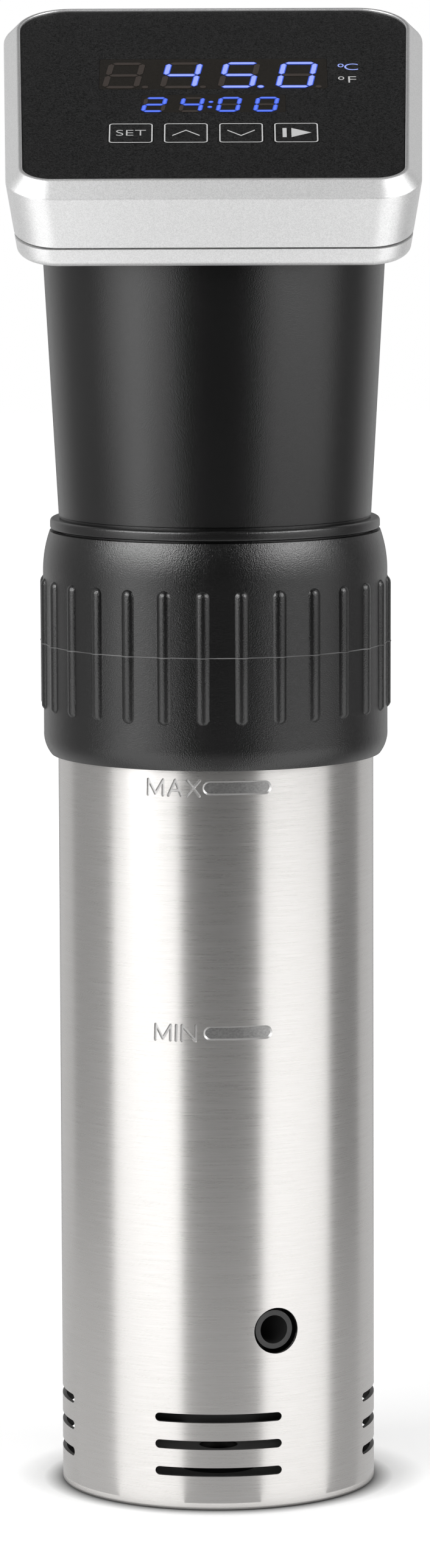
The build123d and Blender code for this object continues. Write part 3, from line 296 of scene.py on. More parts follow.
def inset(bm, face, thickness, depth=0.0):
    """Insets a face from its outline, and moves it along its normal."""
    bm.normal_update()
    bmesh.ops.inset_region(
        bm, faces=[face], thickness=thickness, depth=depth, use_even_offset=True, use_boundary=True
    )


def along(bm, axis):
    """Edges that run along an axis."""
    return [e for e in bm.edges if abs((e.verts[0].co - e.verts[1].co).normalized()[axis]) > 0.999]


def joined(parts):
    """Several bmeshes as one."""
    whole = bmesh.new()
    for part in parts:
        mesh = bpy.data.meshes.new("part")
        part.to_mesh(mesh)
        part.free()
        whole.from_mesh(mesh)
        bpy.data.meshes.remove(mesh)
    return whole


def in_scene(name, data):
    """An object of the scene with this data."""
    made = bpy.data.objects.new(name, data)
    bpy.context.scene.collection.objects.link(made)
    return made


def plain_object(name, bm):
    mesh = bpy.data.meshes.new(name)
    bm.to_mesh(mesh)
    bm.free()
    return in_scene(name, mesh)


def used_up(made, *others):
    """The final mesh of an object as a bmesh; the object and the others that it needed are removed."""
    mesh = bpy.data.meshes.new_from_object(made.evaluated_get(bpy.context.evaluated_depsgraph_get()))
    bm = bmesh.new()
    bm.from_mesh(mesh)
    bpy.data.meshes.remove(mesh)
    for spent in (made, *others):
        data, store = spent.data, bpy.data.meshes if spent.type == "MESH" else bpy.data.curves
        bpy.data.objects.remove(spent)
        store.remove(data)
    return bm


def combined(bm, tool, operation):
    """One closed bmesh cut by, or united with, another."""
    base, cutter = plain_object("base", bm), plain_object("cutter", tool)
    change = base.modifiers.new("combine", "BOOLEAN")
    change.operation = operation
    change.object = cutter
    change.solver = "EXACT"
    return used_up(base, cutter)


def piece(name, bm, finish, body, replaces=(), sharp=32.0):
    """A shape as an object in metres, with its finish, that rides on a body."""
    bmesh.ops.scale(bm, vec=(MM, MM, MM), verts=bm.verts)
    made = plain_object(name, bm)
    made.data.materials.append(FINISH[finish])
    made.data.polygons.foreach_set("use_smooth", [True] * len(made.data.polygons))
    made.data.set_sharp_from_angle(angle=math.radians(sharp))
    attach(made, body)
    if replaces:
        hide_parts(*replaces)
    return made


def radial(angle, radius, z):
    """Places a shape made round the origin on the sleeve's wall, its Y axis pointing in."""
    return Matrix.Rotation(math.radians(angle), 4, "Z") @ Matrix.Translation((0, -radius, z))


def wrapped(bm):
    """Bends a shape that was made flat in front of the sleeve round its axis."""
    for v in bm.verts:
        turn = v.co.x / SLEEVE_R
        v.co = Vector((-v.co.y * math.sin(turn), v.co.y * math.cos(turn), v.co.z))
    return bm


# Node groups that several finishes share. A Mix node's own sockets, by its kind: the two ends and the result
MIX_SOCKETS = {"RGBA": (6, 7, 2), "FLOAT": (2, 3, 0)}
SURFACE_INPUTS = {"Dark": "Color", "Light": "Color", "Smooth": "Float", "Rough": "Float"}
SURFACE_OUTPUTS = {"Color": "Color", "Roughness": "Float", "Height": "Float"}


def set_values(node, **values):
    """Sets a node's sockets, named with underscores for spaces."""
    for label, value in values.items():
        node.inputs[label.replace("_", " ")].default_value = value


def new_group(name, inputs, outputs):
    """A shader node group: its link function, the sockets of its inputs and outputs, and its Object coordinates."""
    group = bpy.data.node_groups.new(name, "ShaderNodeTree")
    for in_out, sockets in (("INPUT", inputs), ("OUTPUT", outputs)):
        for label, kind in sockets.items():
            group.interface.new_socket(name=label, in_out=in_out, socket_type=f"NodeSocket{kind}")
    given, out = group.nodes.new("NodeGroupInput").outputs, group.nodes.new("NodeGroupOutput").inputs
    return group, group.links.new, given, out, group.nodes.new("ShaderNodeTexCoord").outputs["Object"]


def mix_out(group, factor, first, second, out, kind="FLOAT"):
    """Mixes two of a group's inputs by a factor that changes over the surface, and puts the result out."""
    mix = group.nodes.new("ShaderNodeMix")
    mix.data_type = kind
    low, high, result = MIX_SOCKETS[kind]
    for source, socket in ((factor, mix.inputs["Factor"]), (first, mix.inputs[low]), (second, mix.inputs[high])):
        group.links.new(source, socket)
    group.links.new(mix.outputs[result], out)


def make_grain():
    """Moulded surface: patches of colour and roughness, and a fine grain for the bump."""
    inputs = {"Grain Scale": "Float", "Patch Scale": "Float", **SURFACE_INPUTS}
    group, link, given, out, place = new_group("moulded_grain", inputs, SURFACE_OUTPUTS)
    noises = {}
    for label, detail in (("Patch Scale", 4.0), ("Grain Scale", 2.0)):
        noise = group.nodes.new("ShaderNodeTexNoise")
        noise.inputs["Detail"].default_value = detail
        link(place, noise.inputs["Vector"])
        link(given[label], noise.inputs["Scale"])
        noises[label] = noise.outputs["Fac"]
    mix_out(group, noises["Grain Scale"], given["Dark"], given["Light"], out["Color"], "RGBA")
    mix_out(group, noises["Patch Scale"], given["Smooth"], given["Rough"], out["Roughness"])
    link(noises["Grain Scale"], out["Height"])
    return group


def make_flake():
    """Metal flake or mineral grain: small cells, each a little lighter or darker."""
    group, link, given, out, place = new_group(
        "fine_flake", {"Scale": "Float", "Dark": "Color", "Light": "Color"}, {"Color": "Color", "Height": "Float"}
    )
    cells = group.nodes.new("ShaderNodeTexVoronoi")
    split = group.nodes.new("ShaderNodeSeparateColor")
    link(place, cells.inputs["Vector"])
    link(given["Scale"], cells.inputs["Scale"])
    link(cells.outputs["Color"], split.inputs["Color"])
    mix_out(group, split.outputs["Red"], given["Dark"], given["Light"], out["Color"], "RGBA")
    link(split.outputs["Green"], out["Height"])
    return group


def make_brushing():
    """Hair lines that run round the Z axis: noise that is drawn out level and fine in height."""
    inputs = {"Across": "Float", "Along": "Float", **SURFACE_INPUTS}
    group, link, given, out, place = new_group("brushed_lines", inputs, SURFACE_OUTPUTS)
    stretch = group.nodes.new("ShaderNodeCombineXYZ")
    scaled = group.nodes.new("ShaderNodeVectorMath")
    scaled.operation = "MULTIPLY"
    lines = group.nodes.new("ShaderNodeTexNoise")
    set_values(lines, Scale=1.0, Detail=3.0, Roughness=0.7)
    for label, axis in (("Along", "X"), ("Along", "Y"), ("Across", "Z")):
        link(given[label], stretch.inputs[axis])
    link(place, scaled.inputs[0])
    link(stretch.outputs["Vector"], scaled.inputs[1])
    link(scaled.outputs["Vector"], lines.inputs["Vector"])
    mix_out(group, lines.outputs["Fac"], given["Dark"], given["Light"], out["Color"], "RGBA")
    mix_out(group, lines.outputs["Fac"], given["Smooth"], given["Rough"], out["Roughness"])
    link(lines.outputs["Fac"], out["Height"])
    return group


GRAIN = make_grain()
FLAKE = make_flake()
BRUSHING = make_brushing()


# Finishes
def grey(value, warm=0.0):
    return (value * (1 + warm), value, value * (1 - warm), 1)


def finish_start(name):
    """A new material with its tree and Principled shader."""
    made = bpy.data.materials.new(name)
    made.use_nodes = True
    return made, made.node_tree, made.node_tree.nodes["Principled BSDF"]


def add_group(tree, group, **values):
    """A shared node group with this finish's own values."""
    node = tree.nodes.new("ShaderNodeGroup")
    node.node_tree = group
    set_values(node, **values)
    return node


def surface(name, group, given, wires, bump, **values):
    """A material whose shader takes a shared group's outputs over the wires, and its Height as a bump."""
    made, tree, shader = finish_start(name)
    node = add_group(tree, group, **given)
    for output, socket in wires.items():
        tree.links.new(node.outputs[output], shader.inputs[socket])
    set_values(shader, **values)
    if bump:
        relief = tree.nodes.new("ShaderNodeBump")
        set_values(relief, Distance=bump[0], Strength=bump[1])
        tree.links.new(node.outputs["Height"], relief.inputs["Height"])
        tree.links.new(relief.outputs["Normal"], shader.inputs["Normal"])
    return made


COLOURED = {"Color": "Base Color"}
WORKED = {"Color": "Base Color", "Roughness": "Roughness"}
LIT = {"Color": "Emission Color", "Roughness": "Roughness"}


def moulded(name, dark, light, smooth, rough, grain=2600.0, depth=0.00004, strength=0.5, specular=0.5):
    """Moulded plastic or rubber with a fine grain."""
    given = dict(Grain_Scale=grain, Patch_Scale=60.0, Dark=dark, Light=light, Smooth=smooth, Rough=rough)
    return surface(name, GRAIN, given, WORKED, (depth, strength), Specular_IOR_Level=specular)


def metal(name, dark, light, smooth, rough, across=5200.0, lengthwise=110.0, strength=0.12, anisotropic=0.0):
    """Bare metal with brushed or turned lines round Z."""
    given = dict(Across=across, Along=lengthwise, Dark=dark, Light=light, Smooth=smooth, Rough=rough)
    values = dict(Metallic=1.0, Anisotropic=anisotropic, Anisotropic_Rotation=0.25)
    made = surface(name, BRUSHING, given, WORKED, (0.00001, strength), **values)
    if anisotropic:
        tree = made.node_tree
        tangent = tree.nodes.new("ShaderNodeTangent")
        tangent.direction_type = "RADIAL"
        tangent.axis = "Z"
        tree.links.new(tangent.outputs["Tangent"], tree.nodes["Principled BSDF"].inputs["Tangent"])
    return made


def silver_paint():
    """Satin silver paint with a fine flake."""
    given = dict(Scale=7000.0, Dark=grey(0.67), Light=grey(0.83))
    values = dict(Metallic=0.72, Roughness=0.38, Coat_Weight=0.25, Coat_Roughness=0.3)
    return surface("silver_paint", FLAKE, given, COLOURED, (0.00001, 0.25), **values)


def panel_film(name, dark, light, roughness):
    """Black panel film with a fine mineral sparkle."""
    given = dict(Scale=5200.0, Dark=dark, Light=light)
    return surface(name, FLAKE, given, COLOURED, (0.00002, 0.3), Roughness=roughness, Specular_IOR_Level=0.18)


def glowing(name, colour):
    """Lit display segment: its light is a little uneven, as behind a diffuser."""
    bright = tuple(min(1.0, c * 1.25) for c in colour[:3]) + (1,)
    given = dict(Grain_Scale=1600.0, Patch_Scale=300.0, Dark=colour, Light=bright, Smooth=0.4, Rough=0.5)
    return surface(name, GRAIN, given, LIT, None, Base_Color=(0.02, 0.02, 0.05, 1), Emission_Strength=1.0)


FINISH = {
    "steel": metal(
        "brushed_steel", grey(0.6, 0.03), grey(0.8, 0.02), 0.23, 0.34, across=5000.0, strength=0.04, anisotropic=0.6
    ),
    # Painted shade: the stamps' walls and the letters are the sleeve's steel made darker and rougher, standing in for
    # the shade in the grooves
    "stamped": metal("stamped_steel_painted_shade", grey(0.5, 0.01), grey(0.66, 0.01), 0.42, 0.54),
    "mark_floor": metal(
        "mark_floor_steel", grey(0.2, 0.01), grey(0.58, 0.01), 0.3, 0.42, across=2600.0, lengthwise=2000.0, strength=0.7
    ),
    # Painted shade: the bore and the base plate are the sleeve's steel, made darker for the shade inside the tube
    "inside": metal("sleeve_bore_painted_shade", grey(0.26, 0.01), grey(0.4, 0.01), 0.4, 0.55),
    "ring": moulded(
        "ring_plastic", grey(0.001), grey(0.004), 0.19, 0.26, grain=4200.0, depth=0.00006, strength=1.0, specular=0.75
    ),
    # Painted highlight: the mould line is the ring's black plastic made lighter in patches, standing in for the light
    # along its crest
    "ridge": moulded("ridge_painted_highlight", grey(0.0), grey(0.15), 0.28, 0.36, grain=150.0),
    "neck": moulded("neck_plastic", grey(0.001), grey(0.004), 0.21, 0.27, grain=5000.0, strength=0.9, specular=0.7),
    "silver": silver_paint(),
    "film": panel_film("panel_film", grey(0.0), grey(0.03), 0.4),
    "lens": panel_film("lens_film", (0.013, 0.0115, 0.0095, 1), (0.02, 0.0175, 0.0145, 1), 0.34),
    "print": moulded("panel_print", grey(0.5), grey(0.6), 0.5, 0.6),
    "unlit": moulded("unlit_segment", (0.042, 0.032, 0.027, 1), (0.05, 0.04, 0.034, 1), 0.4, 0.5),
    "glow": glowing("segment_glow", (0.03, 0.09, 0.62, 1)),
    "core": glowing("segment_core", (0.3, 0.38, 0.95, 1)),
    "deep_core": glowing("deep_segment_core", (0.1, 0.19, 0.9, 1)),
    "rubber": moulded("rubber", grey(0.018), grey(0.03), 0.6, 0.75, grain=1800.0),
    "wet": moulded("pump_plastic", grey(0.014), grey(0.026), 0.32, 0.44),
    "dry": moulded("deck_plastic", grey(0.09), grey(0.14), 0.45, 0.6),
    "board": moulded("board_mask", (0.02, 0.12, 0.045, 1), (0.035, 0.18, 0.07, 1), 0.3, 0.45),
    "block": moulded("block_plastic", grey(0.025), grey(0.045), 0.4, 0.55),
    "yellow": moulded("winding_tape", (0.5, 0.36, 0.05, 1), (0.68, 0.52, 0.1, 1), 0.4, 0.55),
    "green": moulded("terminal_plastic", (0.05, 0.22, 0.09, 1), (0.09, 0.32, 0.13, 1), 0.4, 0.55),
    "plate": metal("plated_sheet", grey(0.42), grey(0.55), 0.35, 0.5),
    "core_iron": metal("stacked_iron", grey(0.14), grey(0.24), 0.45, 0.6, across=2500.0, strength=0.4),
    "bright": metal("bright_steel", grey(0.6), grey(0.75), 0.16, 0.28),
    "bronze": metal("turned_bronze", (0.5, 0.33, 0.13, 1), (0.68, 0.48, 0.22, 1), 0.25, 0.4),
    "alloy": metal("extruded_alloy", grey(0.6), grey(0.75), 0.3, 0.45),
}


# Steel sleeve: turned tube with its slots, outlet hole, level marks and letters cut in
def slot_cutters():
    cutters = []
    for group in range(SLOT_GROUPS):
        for row in range(SLOT_ROWS):
            cutter = block((SLOT_SPAN, SLEEVE_R / 2, SLOT_HEIGHT))
            bevelled(cutter, along(cutter, 1), SLOT_HEIGHT * 0.499, 6)
            cutters.append(put(cutter, radial(group * 360 / SLOT_GROUPS, SLEEVE_R, SLOT_LOW_Z + row * SLOT_PITCH)))
    outlet = radial(OUTLET_ANGLE, SLEEVE_R, OUTLET_Z) @ Matrix.Rotation(math.pi / 2, 4, "X")
    return cutters + [cylinder(OUTLET_HOLE_R, SLEEVE_R / 2, outlet, 64)]


def stamp(length, height, round_off, x, z, turn=0.0):
    """A shallow groove with sloping walls, laid on the sleeve's front and bent round it."""
    bm = block((length, 2 * STAMP_DEPTH, height))
    bevelled(bm, along(bm, 1), round_off, 5)
    inner = [v for v in bm.verts if v.co.y > 0]
    outer = [v for v in bm.verts if v.co.y < 0]
    taper = min(STAMP_DEPTH * 0.9, height * 0.2)
    bmesh.ops.scale(bm, vec=(1 - 2 * taper / length, 1, 1 - 2 * taper / height), verts=inner)
    bmesh.ops.scale(bm, vec=(1 + 2 * taper / length, 1, 1 + 2 * taper / height), verts=outer)
    put(bm, Matrix.Translation((x, -SLEEVE_R, z)) @ Matrix.Rotation(turn, 4, "Y"))
    low, high = min(v.co.x for v in bm.verts), max(v.co.x for v in bm.verts)
    cuts = int((high - low) / STAMP_FACET)
    for cut in range(cuts):
        at = low + (high - low) * (cut + 1) / (cuts + 1)
        bmesh.ops.bisect_plane(
            bm, geom=bm.verts[:] + bm.edges[:] + bm.faces[:], plane_co=(at, 0, 0), plane_no=(1, 0, 0), dist=1e-5
        )
    return wrapped(bm)


# Strokes of the stamped letters, in a cell that is one wide and one high
LETTER_STROKES = {
    "M": (((0, 0), (0, 1)), ((0, 1), (0.5, 0.1)), ((0.5, 0.1), (1, 1)), ((1, 1), (1, 0))),
    "I": (((0, 0), (0, 1)),),
    "N": (((0, 0), (0, 1)), ((0, 1), (1, 0)), ((1, 0), (1, 1))),
    "A": (((0, 0), (0.5, 1)), ((0.5, 1), (1, 0)), ((0.2, 0.34), (0.8, 0.34))),
    "X": (((0, 0), (1, 1)), ((0, 1), (1, 0))),
}


def letter_cutters(word, z):
    x = WORD_END_XS[word] - sum(LETTER_WIDTHS[letter] for letter in word) - LETTER_GAP * (len(word) - 1)
    strokes = []
    for letter in word:
        width = LETTER_WIDTHS[letter]
        for start, end in LETTER_STROKES[letter]:
            a = Vector((x + start[0] * width, (start[1] - 0.5) * LETTER_HEIGHT))
            b = Vector((x + end[0] * width, (end[1] - 0.5) * LETTER_HEIGHT))
            a.x += a.y * LETTER_LEAN
            b.x += b.y * LETTER_LEAN
            run = b - a
            middle = (a + b) / 2
            turn = -math.atan2(run.y, run.x)
            strokes.append(
                stamp(run.length + LETTER_STROKE, LETTER_STROKE, LETTER_STROKE * 0.45, middle.x, z + middle.y, turn)
            )
        x += width + LETTER_GAP
    return strokes


def steel_sleeve():
    bore = SLEEVE_R - SLEEVE_WALL
    profile = [(bore - FOOT_LIP, 0.0)]
    profile += arc((SLEEVE_R - FOOT_ROUND, FOOT_ROUND), FOOT_ROUND, -90, 0, 6)
    profile += [(SLEEVE_R, SLEEVE_TOP), (bore, SLEEVE_TOP), (bore, SLEEVE_WALL), (bore - FOOT_LIP, SLEEVE_WALL)]
    bm = turned(profile, SLEEVE_STEPS)
    marks = [stamp(MARK_LENGTH, MARK_HEIGHT, MARK_HEIGHT * 0.499, MARK_X, z) for z in MARK_ZS.values()]
    bm = combined(bm, joined(slot_cutters() + marks), "DIFFERENCE")
    for word, z in MARK_ZS.items():
        for stroke in letter_cutters(word, z):
            bm = combined(bm, stroke, "DIFFERENCE")
    bmesh.ops.dissolve_degenerate(bm, edges=bm.edges, dist=1e-4)
    tube = piece("sleeve_tube", bm, "steel", "sleeve", ["steel_sleeve"])
    stamped, inside, mark_floor = 1, 2, 3
    for finish in ("stamped", "inside", "mark_floor"):
        tube.data.materials.append(FINISH[finish])
    # A face just under the wall's surface is part of a stamp, and one deeper than the wall faces the bore, whose darker
    # steel is painted shade
    for face in tube.data.polygons:
        out = Vector((face.center.x, face.center.y, 0))
        depth = SLEEVE_R - out.length / MM
        wall = face.normal.dot(out.normalized()) < 0.9
        if 0.03 < depth < STAMP_DEPTH + 0.1 and face.center.z > MARK_ZS["MIN"] * MM / 2:
            letters = face.center.x < (MARK_X - MARK_LENGTH / 2 - 0.1) * MM
            # Painted shade in the grooves: walls and letters take the darker stamped steel
            face.material_index = stamped if wall or letters else mark_floor
        elif depth > SLEEVE_WALL - 0.05:
            face.material_index = inside
    round_normals(tube)


def round_normals(tube):
    """Gives the tube's wall the exact normals of a cylinder, so that the cuts leave no dents in its shine."""
    mesh = tube.data
    normals = [None] * len(mesh.loops)
    near = 0.02 * MM
    for face in mesh.polygons:
        for index in face.loop_indices:
            spot = mesh.vertices[mesh.loops[index].vertex_index].co
            flat = Vector((spot.x, spot.y, 0))
            on_wall = abs(flat.length - SLEEVE_R * MM) < near and spot.z > (FOOT_ROUND - 0.01) * MM
            side = face.normal.dot(flat.normalized())
            if on_wall and side > 0.995:
                normals[index] = flat.normalized()
            else:
                normals[index] = mesh.corner_normals[index].vector.copy()
    mesh.normals_split_custom_set(normals)


# Grip ring
def ring_body():
    profile = [(RING_BORE_R, RING_LOW.z)]
    profile += three_point_arc(
        (RING_END_R, RING_LOW.z),
        ((RING_END_R + 3 * RING_R) / 4, RING_LOW.z + RING_FOOT_ROUND * 0.42),
        (RING_R, RING_LOW.z + RING_FOOT_ROUND),
        8,
    )
    profile += three_point_arc(
        (RING_R, RING_HIGH.z - RING_SHOULDER),
        ((RING_END_R + 3 * RING_R) / 4, RING_HIGH.z - RING_SHOULDER * 0.48),
        (RING_END_R, RING_HIGH.z),
        10,
    )
    profile += [(RING_BORE_R, RING_HIGH.z)]
    return turned(profile, RING_STEPS)


def ring_rib(angle):
    """One raised rib: a bar with round ends, sunk in the ring up to its crest."""
    round_r = RIB_WIDTH / 2
    bm = bmesh.new()
    bmesh.ops.create_uvsphere(bm, u_segments=24, v_segments=12, radius=round_r)
    middle = [v for v in bm.verts if abs(v.co.z) < 0.01]
    upper = [v for v in bm.verts if v.co.z > 0.01]
    lower = [v for v in bm.verts if v.co.z < -0.01]
    bmesh.ops.translate(bm, vec=(0, 0, RIB_HIGH_Z - round_r), verts=upper + middle)
    bmesh.ops.translate(bm, vec=(0, 0, RIB_LOW_Z + round_r), verts=lower)
    return put(bm, radial(angle, RIB_R - round_r, 0))


def ridge(bm, normal, centre, width, proud):
    """A thin raised line on the outside of a turned mesh, where a plane cuts it."""
    line = bm.copy()
    for side in (-1, 1):
        cut_off(line, centre + normal * side * width / 2, normal * side)
    inner = [f for f in line.faces if f.calc_center_median().xy.length < RING_BORE_R + 0.5]
    bmesh.ops.delete(line, geom=inner, context="FACES")
    bmesh.ops.solidify(line, geom=line.faces[:], thickness=-proud)
    return face_out(line)


def grip_ring():
    """The ring, with a line round it and one down its front and back where the parts of its mould met."""
    ribs = [ring_rib(RIB_START + rib * 360 / RIB_COUNT) for rib in range(RIB_COUNT)]
    bm = combined(ring_body(), joined(ribs), "UNION")
    turn = math.radians(SPLIT_LINE_ANGLE)
    split = ridge(bm, Vector((math.cos(turn), math.sin(turn), 0)), Vector(), *SPLIT_LINE)
    line = ridge(bm, Vector((0, 0, 1)), Vector((0, 0, MOULD_LINE_Z)), *MOULD_LINE)
    bm = joined([bm, split])
    piece("grip_ring_body", bm, "ring", "lock_ring", ["grip_ring"], sharp=28.0)
    # The mould line's lighter finish is a painted highlight
    piece("grip_ring_mould_line", line, "ridge", "lock_ring")


# Neck: two half shells that meet on the sides
def neck_radius(z):
    return NECK_FOOT_R + (z - NECK_FOOT_Z) * math.tan(math.radians(NECK_DRAFT))


def seam_strips(top):
    """Two narrow strips inside the front half's edges, which keep light from coming through the seams."""
    profile = [
        (SPIGOT_R - NECK_WALL, SPIGOT_LOW_Z),
        (SPIGOT_R - NECK_WALL / 2, SPIGOT_LOW_Z),
        (SPIGOT_R - NECK_WALL / 2, SLEEVE_TOP),
        (neck_radius(NECK_FOOT_Z) - NECK_WALL / 2, NECK_FOOT_Z),
        (neck_radius(top) - NECK_WALL / 2, top),
        (neck_radius(top) - NECK_WALL, top),
        (neck_radius(NECK_FOOT_Z) - NECK_WALL, NECK_FOOT_Z),
    ]
    return [turned(profile, 2, SEAM_STRIP, middle - SEAM_STRIP / 2) for middle in (0.0, math.pi)]


def neck_half(start, shift, strips=False):
    top = HEAD_Z + PANEL_DEPTH / 2
    profile = [
        (SPIGOT_R - NECK_WALL, SPIGOT_LOW_Z),
        (SPIGOT_R, SPIGOT_LOW_Z),
        (SPIGOT_R, SLEEVE_TOP),
        (SLEEVE_R, SLEEVE_TOP),
        (SLEEVE_R, FLANGE_LOW_Z),
    ]
    low, high = FLANGE_ROUNDS
    profile += arc((FLANGE_R - low, FLANGE_LOW_Z + low), low, -90, 0, 4)
    profile += arc((FLANGE_R - high, NECK_FOOT_Z - high), high, 0, 90, 4)
    sunk, groove_foot, groove_top, wall_foot = NECK_GROOVE
    profile += [
        (NECK_FOOT_R + 0.1, NECK_FOOT_Z),
        (NECK_FOOT_R - sunk, NECK_FOOT_Z + groove_foot),
        (NECK_FOOT_R - sunk, NECK_FOOT_Z + groove_top),
        (neck_radius(NECK_FOOT_Z + wall_foot), NECK_FOOT_Z + wall_foot),
        (neck_radius(top), top),
        (neck_radius(top) - NECK_WALL, top),
        (neck_radius(NECK_FOOT_Z) - NECK_WALL, NECK_FOOT_Z),
    ]
    bm = put(turned(profile, NECK_STEPS, math.pi, start), Matrix.Translation((0, shift, 0)))
    if strips:
        bm = joined([bm] + seam_strips(top))
    cut_off(bm, HEAD @ Vector((0, 0, -HEAD_DROP)), PANEL_NORMAL)
    bmesh.ops.holes_fill(bm, edges=open_edges(bm), sides=0)
    return face_out(bm)


def neck():
    front = neck_half(math.pi, -SEAM_GAP / 2, strips=True)
    piece("neck_front", front, "neck", "drive_unit", ["neck_front_shell"])
    holes = []
    for x, z, radius in [(x, z, NECK_SCREW_R) for x, z in NECK_SCREWS] + [(0, INLET_Z, INLET_R)]:
        place = Matrix.Translation((x, NECK_SCREW_SEAT_Y + SLEEVE_R / 2, z)) @ Matrix.Rotation(math.pi / 2, 4, "X")
        holes.append(cylinder(radius, SLEEVE_R, place, SCREW_HOLE_STEPS))
    rear = combined(neck_half(0, SEAM_GAP / 2), joined(holes), "DIFFERENCE")
    piece("neck_rear", rear, "neck", "drive_unit", ["neck_rear_shell"])


# Head
def head_face(bm, drop, grow):
    """The head's outline as one face: a trapezoid with round corners."""
    front, back, half = PANEL_FRONT_W / 2 + grow, PANEL_BACK_W / 2 + grow, PANEL_DEPTH / 2 + grow
    corners = ((-front, -half), (front, -half), (back, half), (-back, half))
    bm.faces.new([bm.verts.new((x, y, -drop)) for x, y in corners])
    for side, radius in ((-1, FRONT_CORNER_R + grow), (1, BACK_CORNER_R + grow)):
        bevelled(bm, [v for v in bm.verts if v.co.y * side > half - 0.01], radius, 14, "VERTICES")
    return max(bm.faces, key=lambda f: f.calc_area())


def drafted(bm, edges, drop, shrink):
    """Walls drawn down from a loop of edges, each loop a little smaller than the one above."""
    made = bmesh.ops.extrude_edge_only(bm, edges=edges)
    verts = [g for g in made["geom"] if isinstance(g, bmesh.types.BMVert)]
    rim = [g for g in made["geom"] if isinstance(g, bmesh.types.BMEdge) and g.is_boundary]
    across = max(v.co.x for v in verts)
    deep = max(v.co.y for v in verts)
    bmesh.ops.scale(bm, vec=(1 - shrink / across, 1 - shrink / deep, 1), verts=verts)
    bmesh.ops.translate(bm, vec=(0, 0, -drop), verts=verts)
    return [e for e in rim if all(v in verts for v in e.verts)]


def wall_shrink(height):
    return height * math.tan(math.radians(HEAD_DRAFT))


def bezel():
    """The silver frame: rim, chamfer and drawn walls, with small rounds on its edges."""
    bm = bmesh.new()
    top = head_face(bm, CHAMFER_DROP, RIM_GROW)
    inset(bm, top, RIM_GROW - RIM_LIP, CHAMFER_DROP)
    inset(bm, top, RIM_LIP)
    inset(bm, top, 0.01, -PANEL_SINK - PANEL_WELL)
    inset(bm, top, PANEL_LEDGE)
    bmesh.ops.delete(bm, geom=[top], context="FACES_ONLY")
    walls = [e for e in open_edges(bm) if min(v.co.z for v in e.verts) < -CHAMFER_DROP + 0.01]
    height = PARTING_DROP - CHAMFER_DROP
    rim = drafted(bm, walls, height, wall_shrink(height))
    drafted(bm, rim, 0.0, PARTING_LEDGE)
    bmesh.ops.remove_doubles(bm, verts=bm.verts, dist=1e-4)
    bmesh.ops.bridge_loops(bm, edges=open_edges(bm))
    put(face_out(bm), HEAD)
    made = piece("bezel", bm, "silver", "drive_unit", ["bezel_frame"])
    bevel = made.modifiers.new("soft_edges", "BEVEL")
    bevel.width = RIM_ROUND * MM
    bevel.segments = 3
    bevel.limit_method = "ANGLE"
    bevel.angle_limit = math.radians(22)
    bevel.harden_normals = True


def base_pan():
    bm = bmesh.new()
    start = PARTING_DROP + PARTING_GAP
    grow = RIM_GROW - wall_shrink(start - CHAMFER_DROP)
    face = head_face(bm, start, grow)
    height = HEAD_DROP - start
    walls = drafted(bm, face.edges[:], height - HEAD_EDGE_R, wall_shrink(height - HEAD_EDGE_R))
    steps = 6
    for step in range(steps):
        low, high = math.pi / 2 * step / steps, math.pi / 2 * (step + 1) / steps
        sink = HEAD_EDGE_R * (math.sin(high) - math.sin(low))
        walls = drafted(bm, walls, sink, HEAD_EDGE_R * (math.cos(low) - math.cos(high)) + wall_shrink(sink))
    bmesh.ops.holes_fill(bm, edges=walls, sides=0)
    places = [Matrix.Translation((x, y, -HEAD_DROP)) for x, y in HEAD_SCREWS]
    holes = [cylinder(HEAD_SCREW_R, 2 * HEAD_SCREW_SINK, place, SCREW_HOLE_STEPS) for place in places]
    bm = combined(face_out(bm), joined(holes), "DIFFERENCE")
    bm = joined([put(bm, HEAD), neck_collar()])
    piece("base_pan", bm, "silver", "drive_unit", ["head_base"])


def neck_collar():
    """Thin lip of the base pan round the neck, seen as a bright edge under the head."""
    low, high = NECK_FOOT_Z, HEAD_Z + PANEL_DEPTH / 2
    inner = [(neck_radius(z) + COLLAR_GAP, z) for z in (low, high)]
    outer = [(neck_radius(z) + COLLAR_WALL, z) for z in (high, low)]
    bm = turned(inner + outer, NECK_STEPS)
    for drop, side in ((HEAD_DROP - COLLAR_ROOT, 1), (HEAD_DROP + COLLAR_DROP, -1)):
        cut_off(bm, HEAD @ Vector((0, 0, -drop)), PANEL_NORMAL * side)
    rims = open_edges(bm)
    for side in (-1, 1):
        loops = [e for e in rims if side * ((HEAD.inverted() @ e.verts[0].co).z + HEAD_DROP + COLLAR_ROOT) > 0]
        bmesh.ops.bridge_loops(bm, edges=loops)
    return face_out(bm)


def screw_head(place):
    """A pan head with a cross recess, round Z and looking up, put in its place."""
    radius, height = SCREW_HEAD_R, SCREW_HEAD_H
    bm = cylinder(radius, height, Matrix.Translation((0, 0, height / 2)), 36)
    rim = [e for e in bm.edges if min(v.co.z for v in e.verts) > height - 0.01]
    bevelled(bm, rim, height * 0.35, 4)
    span, bar = radius * 1.15, radius * 0.26
    for size in ((span, bar, height), (bar, span, height)):
        bm = combined(bm, block(size, (0, 0, height * 1.1)), "DIFFERENCE")
    return put(bm, place)


